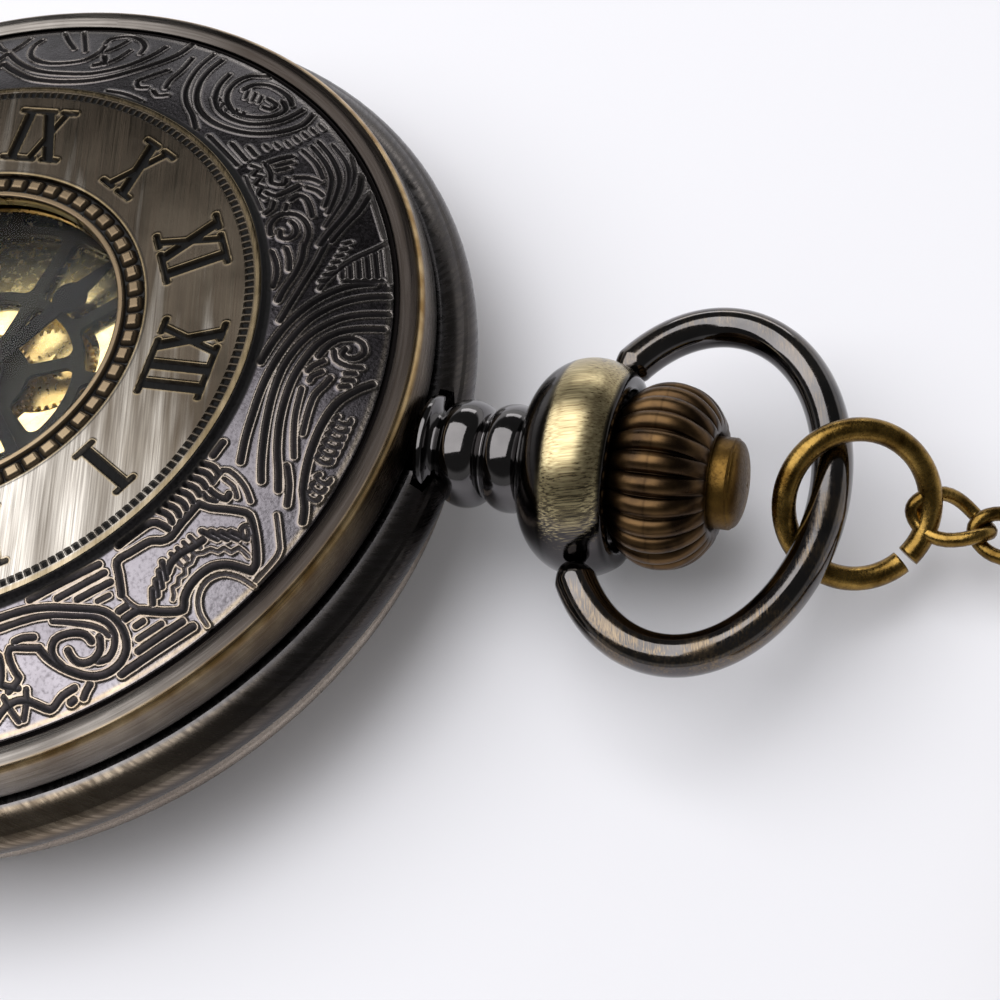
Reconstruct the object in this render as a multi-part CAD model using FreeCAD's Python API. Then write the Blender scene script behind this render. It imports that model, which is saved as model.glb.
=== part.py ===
"""Half-hunter pocket watch, face up, with bow, jump ring and chain.

Millimetres.  +Z points up out of the front cover, +Y towards the crown at twelve
o'clock, +X towards three o'clock.  The origin is the centre of the flat back.
"""
import FreeCAD, Part
import math
import os

V = FreeCAD.Vector
X_AXIS = V(1, 0, 0)
Y_AXIS = V(0, 1, 0)
Z_AXIS = V(0, 0, 1)

# ---------------------------------------------------------------- driving dimensions

# fits
run_gap = 0.05          # radial clearance of a shaft or slide
seat_gap = 0.05         # gap left where one piece rests on another

# middle case
case_r = 23.5           # widest radius of the case
axis_z = 6.4            # height of the crown axis, and of the widest part of the case
case_bore_r = 19.9      # bore that takes the movement ring and the dial
case_shelf_r = 18.9     # inner radius of the shelf under the movement ring
case_land_z = 8.2       # top land that carries the crystal bezel
case_land_r = 21.0      # outer radius of that land
case_flange_z = 7.55    # flange under the cover's wall
case_flange_r = 22.15   # where the flange turns into the brushed slope
spigot_r = 21.2         # lower spigot that the back cover snaps over
spigot_z = 3.4          # foot of the spigot
back_top_z = 4.7        # top of the back cover's wall
shelf_top_z = 4.25      # top of the shelf
shelf_wall = 0.65       # thickness of the shelf

# back cover
back_wall = 0.7
back_wall_r = 22.3      # outer radius of the back cover's wall
back_flat_r = 15.0      # radius of the flat that the watch rests on

# front cover
plate_z = 11.73         # top of the numeral ring
window_r = 8.05         # clear radius of the window
lip_w = 0.3             # polished lip round the window
bead_groove_r = 9.35    # outer radius of the bead groove
bead_groove_depth = 0.28
bead_ring_r = 8.85      # circle that the beads stand on
bead_count = 60
bead_side = 0.52
numeral_in_r = 10.1     # foot of the numerals
numeral_out_r = 13.45   # head of the numerals
numeral_depth = 0.15
numeral_stroke = 0.42
numeral_pitch = 0.85    # distance between neighbouring strokes
plate_r = 14.84         # outer radius of the numeral ring
band_in_z = 11.35       # ornament band where it meets the numeral ring
band_out_r = 20.4       # outer edge of the ornament band
band_out_z = 9.66
rim_groove_w = 0.26
rim_groove_depth = 0.16
rim_r = 21.75           # polished ridge of the cover
rim_z = 9.72
skirt_r = 22.02         # foot of the cover's wall
skirt_z = 7.9
skirt_wall = 0.6
cover_wall = 0.62       # thickness of the ornament band
plate_wall = 0.72       # thickness of the numeral ring
window_glass_t = 0.5
window_lap = 0.7        # how far the window glass reaches under the plate
window_ring_w = 0.9

# crystal over the dial
crystal_r = 18.9
crystal_t = 0.6
crystal_z = 8.8
bezel_in_r = 18.3
bezel_out_r = 20.6
lift_leaf_wall = 0.25   # thickness of the lift spring's leaf
lift_leaf_half = 9.0    # half the width of the leaf, seen from the front

# cover hinge, opposite the crown
hinge_y = -22.6
hinge_z = 7.75
knuckle_r = 0.75
knuckle_half = 2.5      # half length of the cover's knuckle
case_knuckle_len = 3.0
hinge_pin_r = 0.35
knuckle_clear = 0.15

# pendant
neck_root_r = 2.2
neck_root_y = 21.55
collar_r = 2.75
collar_y0 = 22.2
collar_y1 = 22.75
waist_r = 1.85
bead_r = 2.42
bead_1_y = 24.05
bead_2_y = 26.15
bead_half = 1.05
neck_end_y = 27.2
neck_bore_r = 1.5
sleeve_bore_r = 1.28
cup_y = 29.6            # widest plane of the cup, and the bow's pivot
cup_r = 4.8
cup_arc_r = 2.6
cup_mouth_y = 31.35
cup_bowl_r = 3.55
cup_floor_y = 30.1

# crown, stem and push button
crown_y = 33.1
crown_r = 4.1
crown_arc_r = 2.4
crown_back_y = 30.85
crown_front_y = 35.3
flute_count = 24
flute_r = 0.36
button_r = 2.0
button_rim_y = 36.05
button_dome = 0.55
button_back_y = 34.95
button_travel = 0.6
button_well_y = 34.25
rod_r = 0.4
stem_r = 0.8
stem_pilot_r = 0.5
stem_in_y = 11.6
stem_step_y = 20.2
stem_out_y = 33.4
stem_bore_y = 22.0
crown_pull = 0.8
cross_pin_r = 0.18
cross_pin_y = 23.3
push_collar_r = 1.22
push_collar_y1 = 23.9

# cover latch
latch_y = 20.03
latch_t = 0.6
latch_half = 2.0
latch_z0 = 5.2
latch_z1 = 8.7
hook_z = 8.35
hook_y = 20.8
latch_room = 0.08
catch_half = 2.4        # half width of the cover's catch

# bow
bow_wire_r = 0.9
bow_half_x = 8.3
bow_half_y = 5.57
bow_reach = 4.85        # from the pivot to the centre of the bow's oval
bow_droop = 4.5         # degrees that the bow hangs below the crown axis
bow_pin_r = 0.45

# jump ring
ring_c = V(-0.63, 41.1, 4.85)
ring_r = 3.22
ring_wire_r = 0.52
ring_tilt = 44.0        # degrees from lying flat
ring_turn = 37.4        # degrees, the way it leans
ring_split = 287.0      # where the ring is open
ring_split_gap = 7.0

# chain
chain_d = 2.6
chain_route = [V(-1.3, 44.4, 3.6), V(-1.1, 48.6, 2.35), V(-0.1, 52.2, 1.45), V(0.9, 56.2, 1.35),
               V(0.9, 61.0, 1.35)]
coil_c = V(15.2, 66.5, 0)
coil_out_r = 15.6
coil_in_r = 10.4
coil_h = 5.2
t_bar_r = 1.0
t_bar_half = 13.0
t_bar_eye_r = 1.5
t_bar_eye_wire_r = 0.5

# movement, dial side up
plate_mv_r = 18.2
plate_mv_z0 = 5.7
plate_mv_z1 = 7.4
plate_windows = [(8.6, -6.4), (-10.5, 4.5), (-7.5, 10.5)]
plate_window_r = 2.5
bridge_r = 17.3
bridge_z0 = 3.1
bridge_z1 = 4.1
winding_z0 = 2.45
winding_z1 = 3.0
ring_seat_z = 5.65
ring_top_z = 7.55
dial_r = 19.6
dial_z = 7.6
dial_t = 0.25
pillar_r = 1.0
screw_head_r = 0.8
screw_head_h = 0.4
screw_shank_r = 0.4
jewel_r = 0.45
pivot_r = 0.12
arbor_r = 0.25
pivot_len = 0.5         # thin end of a wheel's shaft

# wheels of the train: place, teeth and module
barrel_at = (6.9, 5.36)
barrel_teeth = 80
centre_leaves = 12
barrel_module = math.hypot(*barrel_at) * 2 / (barrel_teeth + centre_leaves)
third_at = (-2.9, -4.01)
centre_teeth = 80
third_leaves = 10
centre_module = math.hypot(*third_at) * 2 / (centre_teeth + third_leaves)
fourth_at = (0.0, -7.4)
third_teeth = 75
fourth_leaves = 10
third_module = math.dist(third_at, fourth_at) * 2 / (third_teeth + fourth_leaves)
escape_at = (-3.256, -8.585)
fourth_teeth = 70
escape_leaves = 7
fourth_module = math.dist(fourth_at, escape_at) * 2 / (fourth_teeth + escape_leaves)
escape_teeth = 15
escape_r = 2.0
fork_at = (-6.249, -7.776)
balance_at = (-10.6, -6.6)
balance_r = 4.0
minute_at = (-1.5, 2.598)
cannon_leaves = 12
minute_teeth = 36
cannon_module = math.hypot(*minute_at) * 2 / (cannon_leaves + minute_teeth)
minute_leaves = 10
hour_teeth = 40
hour_module = math.hypot(*minute_at) * 2 / (minute_leaves + hour_teeth)
crown_wheel_at = (0.0, 13.0)
crown_wheel_teeth = 28
ratchet_teeth = 52
winding_module = math.dist(crown_wheel_at, barrel_at) * 2 / (crown_wheel_teeth + ratchet_teeth)
winding_leaves = 12
winding_pinion_r = 1.15
contrate_teeth = 24
contrate_r = 2.3
click_at = (14.75, 2.5)

# hands
hour_hand_len = 8.6
minute_hand_len = 12.4
seconds_hand_len = 2.6


# ---------------------------------------------------------------- shape helpers

def save(name, shape):
    """Write one sub-part to its own STEP file."""
    shape.exportStep("parts/" + name + ".step")
    print("%-18s solids %d volume %.3f" % (name, len(shape.Solids), shape.Volume))


def outline(start, steps):
    """Closed wire: each step is an end point, or a mid point and an end point of an arc."""
    edges = []
    here = start
    for step in steps + [start]:
        if isinstance(step, tuple):
            edges.append(Part.Arc(here, step[0], step[1]).toShape())
            here = step[1]
        else:
            edges.append(Part.LineSegment(here, step).toShape())
            here = step
    return Part.Wire(edges)


def spin_z(start, steps):
    """Solid of revolution about Z from (radius, height) points."""
    wire = outline(rz(start), [convert(rz, step) for step in steps])
    return Part.Face(wire).revolve(V(0, 0, 0), Z_AXIS, 360)


def spin_crown(start, steps):
    """Solid of revolution about the crown axis from (radius, y) points."""
    wire = outline(ry(start), [convert(ry, step) for step in steps])
    return Part.Face(wire).revolve(V(0, 0, axis_z), Y_AXIS, 360)


def rz(point):
    return V(point[0], 0, point[1])


def ry(point):
    return V(point[0], point[1], axis_z)


def convert(place, step):
    """A step is a point, or a pair of points for an arc."""
    if isinstance(step[0], tuple):
        return (place(step[0]), place(step[1]))
    return place(step)


def disc(r, z0, z1, at=(0, 0)):
    return Part.makeCylinder(r, z1 - z0, V(at[0], at[1], z0))


def tube_z(r_out, r_in, z0, z1, at=(0, 0)):
    return disc(r_out, z0, z1, at).cut(disc(r_in, z0, z1, at))


def rod_y(r, y0, y1):
    """Cylinder along the crown axis."""
    return Part.makeCylinder(r, y1 - y0, V(0, y0, axis_z), Y_AXIS)


def rod_x(r, x0, x1, y, z):
    return Part.makeCylinder(r, x1 - x0, V(x0, y, z), X_AXIS)


def box(x0, x1, y0, y1, z0, z1):
    return Part.makeBox(x1 - x0, y1 - y0, z1 - z0, V(x0, y0, z0))


def turned(shape, degrees, at=(0, 0)):
    copy = shape.copy()
    copy.rotate(V(at[0], at[1], 0), Z_AXIS, degrees)
    return copy


def slab(a, ra, b, rb, z0, z1):
    """Flat bar whose ends are round, of radius ra at a and rb at b."""
    ends = disc(ra, z0, z1, a).fuse(disc(rb, z0, z1, b))
    along = V(b[0] - a[0], b[1] - a[1], 0)
    side = V(-along.y, along.x, 0).normalize()
    base = V(a[0], a[1], z0)
    tip = V(b[0], b[1], z0)
    corners = [base + side * ra, base - side * ra, tip - side * rb, tip + side * rb]
    middle = Part.Face(Part.makePolygon(corners + corners[:1])).extrude(V(0, 0, z1 - z0))
    return ends.fuse(middle).removeSplitter()


def gear(teeth, module, z0, z1, at, facing, tooth_there, thin=0.42):
    """Spur wheel.  facing is the direction of its partner, where a tooth or a gap stands."""
    pitch_r = teeth * module / 2
    pitch = 360.0 / teeth
    first = facing if tooth_there else facing + pitch / 2
    root_r = pitch_r - 1.15 * module
    tip_r = pitch_r + 0.8 * module
    points = []
    for i in range(teeth):
        middle = first + i * pitch
        for r, share in ((root_r, -0.56), (pitch_r, -thin), (tip_r, -0.2),
                         (tip_r, 0.2), (pitch_r, thin), (root_r, 0.56)):
            angle = math.radians(middle + share * pitch / 2)
            points.append(V(at[0] + r * math.cos(angle), at[1] + r * math.sin(angle), z0))
    return Part.Face(Part.makePolygon(points + points[:1])).extrude(V(0, 0, z1 - z0))


def facing(a, b):
    """Direction from a to b in degrees."""
    return math.degrees(math.atan2(b[1] - a[1], b[0] - a[0]))


def arbor(at, z0, z1, r=arbor_r):
    """Wheel shaft with a thin pivot at each end."""
    body = disc(r, z0 + pivot_len, z1 - pivot_len, at)
    return body.fuse(disc(pivot_r, z0, z1, at))


def spokes(rim_in_r, hub_r, width, z0, z1, at, count):
    """Cutter that leaves spokes between a hub and a rim."""
    window = tube_z(rim_in_r, hub_r, z0, z1, at)
    for i in range(count):
        bar = box(at[0], at[0] + rim_in_r, at[1] - width / 2, at[1] + width / 2, z0, z1)
        window = window.cut(turned(bar, i * 360.0 / count, at))
    return window


def spiral_strip(r_in, r_out, turns, thick, z0, z1, at):
    """Flat spiral spring."""
    steps = int(turns * 20)
    inner = []
    outer = []
    for i in range(steps + 1):
        share = i / steps
        angle = 2 * math.pi * turns * share
        r = r_in + (r_out - r_in) * share
        for side, r_side in ((inner, r), (outer, r + thick)):
            side.append(V(at[0] + r_side * math.cos(angle), at[1] + r_side * math.sin(angle), z0))
    loop = inner + outer[::-1]
    return Part.Face(Part.makePolygon(loop + loop[:1])).extrude(V(0, 0, z1 - z0))


# ---------------------------------------------------------------- case

def pendant_solid():
    """Outer shape of the neck: root, collar and two polished beads."""
    def bulge(y):
        return ((bead_r, y), (waist_r, y + bead_half))
    return spin_crown((0, neck_root_y), [
        (neck_root_r, neck_root_y), (neck_root_r, collar_y0), (collar_r, collar_y0),
        (collar_r, collar_y1), (waist_r, bead_1_y - bead_half), bulge(bead_1_y),
        bulge(bead_2_y), (0, bead_2_y + bead_half)])


def neck_clearance(gap):
    """Space round the neck's root and collar that a piece of the case leaves free."""
    root = rod_y(neck_root_r + gap, neck_root_y - gap, collar_y1)
    return root.fuse(rod_y(collar_r + gap, collar_y0 - gap, collar_y1))


def pendant_neck():
    return pendant_solid().cut(rod_y(neck_bore_r, neck_root_y, neck_end_y))


def pendant_sleeve():
    return rod_y(neck_bore_r, neck_root_y, neck_end_y).cut(rod_y(sleeve_bore_r, neck_root_y, neck_end_y))


def cup_radius(y):
    """Outer radius of the cup at height y along the crown axis."""
    return cup_r - cup_arc_r + math.sqrt(cup_arc_r ** 2 - (y - cup_y) ** 2)


def pendant_cup():
    shell = spin_crown((0, neck_end_y), [
        (cup_radius(neck_end_y), neck_end_y),
        ((cup_r, cup_y), (cup_radius(cup_mouth_y), cup_mouth_y)), (0, cup_mouth_y)])
    shell = shell.cut(rod_y(cup_bowl_r, cup_floor_y, cup_mouth_y))
    shell = shell.cut(rod_y(stem_r + run_gap, neck_end_y, cup_floor_y))
    pin_holes = rod_x(bow_pin_r + run_gap, -cup_r, cup_r, cup_y, axis_z)
    inner = rod_y(cup_bowl_r + 0.4, neck_end_y, cup_mouth_y)
    return shell.cut(pin_holes.cut(inner))


def latch_pocket():
    """Room for the latch to slide in, cut from all that stands round it."""
    half = latch_half + latch_room
    back = latch_y - button_travel - latch_room
    front = latch_y + latch_t + latch_room
    return box(-half, half, back, front, latch_z0 - latch_room, latch_z1 + 1)


def middle_case():
    body = spin_z((case_bore_r, case_land_z), [
        (case_land_r, case_land_z), (case_land_r, case_flange_z), (case_flange_r, case_flange_z),
        ((case_r - 0.72, case_flange_z - 0.32), (case_r - 0.45, axis_z + 0.55)),
        (case_r - 0.3, axis_z + 0.42),
        ((case_r, axis_z - 0.2), (case_r - 0.3, axis_z - 1.0)),
        (case_r - 0.8, back_top_z), (spigot_r, back_top_z), (spigot_r, spigot_z),
        (case_shelf_r, spigot_z), (case_shelf_r, shelf_top_z), (case_bore_r, shelf_top_z)])
    for side in (-1, 1):
        start = knuckle_half + run_gap if side > 0 else -knuckle_half - run_gap - case_knuckle_len
        body = body.fuse(rod_x(knuckle_r, start, start + case_knuckle_len, hinge_y, hinge_z))
    clear = knuckle_r + knuckle_clear
    body = body.cut(rod_x(clear, -knuckle_half - run_gap, knuckle_half + run_gap, hinge_y, hinge_z))
    body = body.cut(box(-knuckle_half - run_gap, knuckle_half + run_gap,
                        hinge_y, hinge_y + clear + 0.9, hinge_z - 0.25, hinge_z + 2))
    body = body.cut(hinge_pin())
    body = body.cut(pendant_solid())
    body = body.cut(rod_y(sleeve_bore_r, latch_y, neck_root_y))
    body = body.cut(latch_pocket())
    half = catch_half + latch_room
    catch_room = box(-half, half, hook_y - 0.3, case_flange_r, case_flange_z, latch_z1 + 1)
    return body.cut(catch_room)


def back_cover():
    step = back_wall_r - spigot_r
    shell = spin_z((0, 0), [
        (back_flat_r, 0), ((back_wall_r - 2.9, 1.15), (back_wall_r - 0.6, 2.5)),
        ((back_wall_r - 0.05, 2.95), (back_wall_r, 3.5)), (back_wall_r, back_top_z),
        (spigot_r, back_top_z), (spigot_r, spigot_z - seat_gap), (back_wall_r - step - 0.5, 2.6),
        ((back_wall_r - 3.1, 1.15 + back_wall), (back_flat_r, back_wall)), (0, back_wall)])
    return shell.cut(neck_clearance(seat_gap))


def hinge_pin():
    half = knuckle_half + case_knuckle_len
    return rod_x(hinge_pin_r, -half, half, hinge_y, hinge_z)


def crystal():
    return disc(crystal_r, crystal_z, crystal_z + crystal_t)


def crystal_bezel():
    base = case_land_z + seat_gap
    top = crystal_z + 0.1
    ring = tube_z(bezel_out_r, bezel_in_r, base, top)
    seat = disc(crystal_r + run_gap, crystal_z - seat_gap, top)
    return ring.cut(seat).cut(latch_pocket())


def cover_lift_spring():
    """Curved leaf on the land beside the hinge that lifts the released cover."""
    leaf_r = case_land_r - 0.05
    leaf = tube_z(leaf_r, leaf_r - lift_leaf_wall, case_land_z + seat_gap, hook_z + 0.2)
    reach = lift_leaf_half
    wedge = box(-reach, reach, -case_land_r, -case_shelf_r, case_land_z, latch_z1)
    return leaf.common(wedge)


# ---------------------------------------------------------------- front cover

def numeral_strokes(text):
    """Strokes as (x at the foot, x at the head) across the numeral."""
    strokes = []
    x = 0.0
    for letter in text:
        if letter == "I":
            strokes.append((x, x))
            x += numeral_pitch
        elif letter == "V":
            strokes.append((x + numeral_pitch * 0.5, x))
            strokes.append((x + numeral_pitch * 0.5, x + numeral_pitch))
            x += 2 * numeral_pitch
        else:
            strokes.append((x, x + 1.3 * numeral_pitch))
            strokes.append((x + 1.3 * numeral_pitch, x))
            x += 2.3 * numeral_pitch
    middle = (x - numeral_pitch) / 2
    return [(foot - middle, head - middle) for foot, head in strokes]


def numeral_cutters():
    cutters = []
    texts = ["XII", "I", "II", "III", "IIII", "V", "VI", "VII", "VIII", "IX", "X", "XI"]
    half = numeral_stroke / 2
    for hour, text in enumerate(texts):
        for foot, head in numeral_strokes(text):
            corners = [V(foot - half, numeral_in_r, plate_z - numeral_depth),
                       V(foot + half, numeral_in_r, plate_z - numeral_depth),
                       V(head + half, numeral_out_r, plate_z - numeral_depth),
                       V(head - half, numeral_out_r, plate_z - numeral_depth)]
            face = Part.Face(Part.makePolygon(corners + corners[:1]))
            cutters.append(turned(face.extrude(V(0, 0, 1)), -30 * hour))
    return cutters


def beads():
    half = bead_side / 2
    z0 = plate_z - bead_groove_depth
    one = box(bead_ring_r - half, bead_ring_r + half, -half, half, z0 - 0.05, plate_z - 0.03)
    return [turned(one, i * 360.0 / bead_count) for i in range(bead_count)]


def cover_shell():
    groove_in = window_r + lip_w
    lip_z = plate_z - 0.04
    under_z = plate_z - plate_wall
    rim_in_r = band_out_r + rim_groove_w
    shell = spin_z((window_r, under_z), [
        (window_r, lip_z), (groove_in, lip_z), (groove_in, plate_z - bead_groove_depth),
        (bead_groove_r, plate_z - bead_groove_depth), (bead_groove_r, plate_z), (plate_r, plate_z),
        (plate_r + 0.1, band_in_z),
        (((plate_r + band_out_r) / 2, (band_in_z + band_out_z) / 2 + 0.16), (band_out_r, band_out_z)),
        (band_out_r, band_out_z - rim_groove_depth), (rim_in_r, band_out_z - rim_groove_depth),
        (rim_in_r, band_out_z + 0.02), ((rim_in_r + 0.6, rim_z + 0.1), (rim_r, rim_z)),
        ((rim_r + 0.17, rim_z - 0.2), (rim_r + 0.2, rim_z - 0.5)), (skirt_r, skirt_z),
        (skirt_r - skirt_wall, skirt_z), (rim_r - skirt_wall, band_out_z - cover_wall - 0.05),
        (band_out_r, band_out_z - cover_wall - 0.02), (plate_r, band_in_z - cover_wall),
        (window_r + window_lap + window_ring_w + 2, under_z)])
    shell = shell.cut(numeral_cutters())
    shell = shell.fuse(beads())
    reach = box(-knuckle_half, knuckle_half, hinge_y, -skirt_r + skirt_wall + 0.2, skirt_z, skirt_z + 0.6)
    knuckle = rod_x(knuckle_r, -knuckle_half, knuckle_half, hinge_y, hinge_z)
    shell = shell.fuse([knuckle, reach])
    clear = knuckle_r + knuckle_clear
    for side in (-1, 1):
        start = knuckle_half if side > 0 else -knuckle_half - case_knuckle_len - 0.2
        shell = shell.cut(rod_x(clear, start, start + case_knuckle_len + 0.2, hinge_y, hinge_z))
    shell = shell.cut(rod_x(hinge_pin_r + run_gap, -knuckle_half, knuckle_half, hinge_y, hinge_z))
    inner = skirt_r - skirt_wall
    catch = box(-catch_half, catch_half, hook_y + run_gap, inner + 0.1,
                skirt_z + 0.05, hook_z - run_gap)
    return shell.cut(neck_clearance(2 * run_gap)).fuse(catch)


def window_glass():
    top = plate_z - plate_wall
    return disc(window_r + window_lap, top - window_glass_t, top)


def window_ring():
    """Ring that holds the window glass up against the plate."""
    top = plate_z - plate_wall
    outer = window_r + window_lap + window_ring_w
    ring = tube_z(outer, window_r + 0.1, top - window_glass_t - 0.25, top)
    return ring.cut(disc(window_r + window_lap, top - window_glass_t, top))


# ---------------------------------------------------------------- crown and button

def crown_profile_radius(y):
    return crown_r - crown_arc_r + math.sqrt(crown_arc_r ** 2 - (y - crown_y) ** 2)


def crown_knob():
    knob = spin_crown((0, crown_back_y), [
        (crown_profile_radius(crown_back_y), crown_back_y),
        ((crown_r, crown_y), (crown_profile_radius(crown_front_y), crown_front_y)),
        (0, crown_front_y)])
    flutes = []
    for i in range(flute_count):
        groove = Part.makeTorus(crown_arc_r + 0.12, flute_r, V(0, 0, 0), Z_AXIS, 0, 360, 180)
        groove.rotate(V(0, 0, 0), Z_AXIS, -90)
        groove.translate(V(crown_r - crown_arc_r, crown_y, axis_z))
        groove.rotate(V(0, 0, axis_z), Y_AXIS, i * 360.0 / flute_count)
        flutes.append(groove)
    knob = knob.cut(flutes)
    knob = knob.cut(rod_y(button_r + run_gap + 0.03, button_well_y, crown_front_y))
    knob = knob.cut(rod_y(stem_r, crown_back_y, stem_out_y))
    return knob.cut(rod_y(rod_r + run_gap, stem_out_y, button_well_y))


def winding_stem():
    stem = rod_y(stem_r, stem_step_y, stem_out_y).fuse(rod_y(stem_pilot_r, stem_in_y, stem_step_y))
    stem = stem.cut(rod_y(rod_r + run_gap, stem_bore_y, stem_out_y))
    slot_in = cross_pin_y - button_travel - cross_pin_r - run_gap
    slot_out = cross_pin_y + cross_pin_r + run_gap
    half = cross_pin_r + run_gap
    return stem.cut(box(-stem_r, stem_r, slot_in, slot_out, axis_z - half, axis_z + half))


def sliding_clutch():
    hub = rod_y(winding_pinion_r - 0.05, 12.2, 13.6).cut(rod_y(stem_pilot_r, 12.2, 13.6))
    groove = rod_y(winding_pinion_r, 12.7, 13.1).cut(rod_y(winding_pinion_r - 0.3, 12.7, 13.1))
    return hub.cut(groove)


def winding_pinion():
    gear_z = gear(winding_leaves, 2 * winding_pinion_r / (winding_leaves + 1.6), 0, 1.3, (0, 0), -90, True)
    gear_z = gear_z.cut(disc(stem_pilot_r + run_gap, 0, 1.3))
    gear_z.rotate(V(0, 0, 0), X_AXIS, -90)
    gear_z.translate(V(0, 14.6, axis_z))
    return gear_z


def push_button():
    dome_r = (button_r ** 2 + button_dome ** 2) / (2 * button_dome)
    shoulder_y = button_rim_y + button_dome - dome_r + math.sqrt(dome_r ** 2 - button_r ** 2 / 4)
    cap = spin_crown((0, button_back_y), [
        (button_r, button_back_y), (button_r, button_rim_y),
        ((button_r / 2, shoulder_y), (0, button_rim_y + button_dome))])
    rod = rod_y(rod_r, cross_pin_y - 0.4, button_back_y)
    pin_hole = rod_x(cross_pin_r, -rod_r, rod_r, cross_pin_y, axis_z)
    return cap.fuse(rod).cut(pin_hole)


def push_collar():
    """Sleeve round the stem, pinned to the button's rod through the stem's slot."""
    collar_y = latch_y + latch_t + run_gap
    sleeve = rod_y(push_collar_r, collar_y, push_collar_y1)
    sleeve = sleeve.cut(rod_y(stem_r + run_gap, collar_y, push_collar_y1))
    return sleeve.fuse(rod_x(cross_pin_r, -push_collar_r + 0.1, push_collar_r - 0.1, cross_pin_y, axis_z))


def lid_latch():
    plate = box(-latch_half, latch_half, latch_y, latch_y + latch_t, latch_z0, latch_z1)
    hook = box(-latch_half + 0.5, latch_half - 0.5, latch_y, hook_y, hook_z, latch_z1)
    return plate.fuse(hook).cut(rod_y(stem_r + 2 * run_gap, latch_y, latch_y + latch_t))


# ---------------------------------------------------------------- bow, ring and chain

def bow():
    """Oval wire bow whose ends seat on the cup, with a pin into each side of it."""
    oval = Part.Ellipse(V(0, bow_reach, 0), bow_half_x, bow_half_y)
    start = -math.radians(61)
    stop = math.pi + math.radians(61)
    path = Part.Wire([oval.toShape(start, stop)])
    at = path.Edges[0].valueAt(path.Edges[0].FirstParameter)
    way = path.Edges[0].tangentAt(path.Edges[0].FirstParameter)
    section = Part.Wire([Part.makeCircle(bow_wire_r, at, way)])
    wire = path.makePipeShell([section], True, True)
    wire = wire.cut(Part.makeSphere(cup_r + run_gap))
    reach = bow_half_x * math.sqrt(1 - (bow_reach / bow_half_y) ** 2) + 1.2
    for side in (-1, 1):
        x0 = min(side * reach, side * (cup_bowl_r + 0.5))
        pin = Part.makeCylinder(bow_pin_r, reach - cup_bowl_r - 0.5, V(x0, 0, 0), X_AXIS)
        wire = wire.fuse(pin)
    wire.rotate(V(0, 0, 0), X_AXIS, -bow_droop)
    wire.translate(V(0, cup_y, axis_z))
    return wire


def jump_ring():
    """Brass wire ring, sprung open a little at its split."""
    ring = Part.makeTorus(ring_r, ring_wire_r, V(0, 0, 0), Z_AXIS, -180, 180, 360 - ring_split_gap)
    ring.rotate(V(0, 0, 0), Z_AXIS, ring_split + 90 + ring_split_gap / 2)
    ring.rotate(V(0, 0, 0), Y_AXIS, ring_tilt)
    ring.rotate(V(0, 0, 0), Z_AXIS, ring_turn)
    ring.translate(ring_c)
    return ring


def rounded_route(points):
    """Straight runs joined by tangent arcs, each as large as its two runs allow."""
    edges = []
    here = points[0]
    for i in range(1, len(points) - 1):
        back = points[i - 1] - points[i]
        ahead = points[i + 1] - points[i]
        turn = math.pi - back.getAngle(ahead)
        set_back = 0.45 * min(back.Length, ahead.Length)
        radius = set_back / math.tan(turn / 2)
        print("chain radius %.1f at point %d" % (radius, i))
        first = points[i] + back.normalize() * set_back
        last = points[i] + ahead.normalize() * set_back
        inward = (back + ahead).normalize()
        middle = points[i] + inward * (radius / math.cos(turn / 2) - radius)
        edges.append(Part.LineSegment(here, first).toShape())
        edges.append(Part.Arc(first, middle, last).toShape())
        here = last
    edges.append(Part.LineSegment(here, points[-1]).toShape())
    return Part.Wire(edges)


def chain_coil():
    """Outer shape of the coiled length of chain."""
    return tube_z(coil_out_r, coil_in_r, seat_gap, seat_gap + coil_h, (coil_c.x, coil_c.y))


def chain_run():
    route = rounded_route(chain_route)
    start = chain_route[0]
    section = Part.Wire([Part.makeCircle(chain_d / 2, start, chain_route[1] - start)])
    tube = route.makePipeShell([section], True, False)
    length = route.Length
    print("chain volume against section times length %.3f" %
          (tube.Volume / (math.pi * chain_d ** 2 / 4 * length)))
    return tube.cut([chain_coil(), jump_ring()])


def chain_t_bar():
    """Bar that goes through a buttonhole, with an eye for the last link."""
    eye_y = coil_c.y + coil_out_r + t_bar_eye_r + t_bar_eye_wire_r + seat_gap
    bar_y = eye_y + t_bar_eye_r + t_bar_r - 0.3
    bar = rod_x(t_bar_r, coil_c.x - t_bar_half, coil_c.x + t_bar_half, bar_y, t_bar_r + seat_gap)
    eye = Part.makeTorus(t_bar_eye_r, t_bar_eye_wire_r, V(coil_c.x, eye_y, t_bar_r + seat_gap), Z_AXIS)
    return bar.fuse(eye)


# ---------------------------------------------------------------- movement

pillars = {
    "barrel": [(-4.8, 15.3), (4.9, 15.2), (15.4, -1.2), (-14.5, 5.0)],
    "train": [(6.5, -13.5), (12.5, -7.0), (-3.7, -15.0)],
    "cock": [(-15.2, -1.8)],
    "pallet": [(-8.6, -13.4)],
}
jewelled = [third_at, fourth_at, escape_at]


def stem_room():
    """Channel and pocket for the stem, clutch and winding pinion."""
    channel = rod_y(stem_pilot_r + 0.15, stem_in_y - 0.4, case_bore_r)
    half = winding_pinion_r + 0.12
    return channel.fuse(box(-half, half, 12.05, 16.05, plate_mv_z0 - 1, plate_mv_z1 + 1))


def movement_ring():
    ring = tube_z(case_bore_r - seat_gap, plate_mv_r + run_gap, shelf_top_z + seat_gap, ring_top_z)
    lip = tube_z(plate_mv_r + run_gap, bridge_r + 0.3, shelf_top_z + seat_gap, ring_seat_z)
    ring = ring.fuse(lip).removeSplitter()
    return ring.cut(rod_y(stem_r, bridge_r, case_bore_r)).cut(latch_pocket())


def bridge_posts(group):
    return [disc(pillar_r, bridge_z1, plate_mv_z0, at) for at in pillars[group]]


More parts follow.
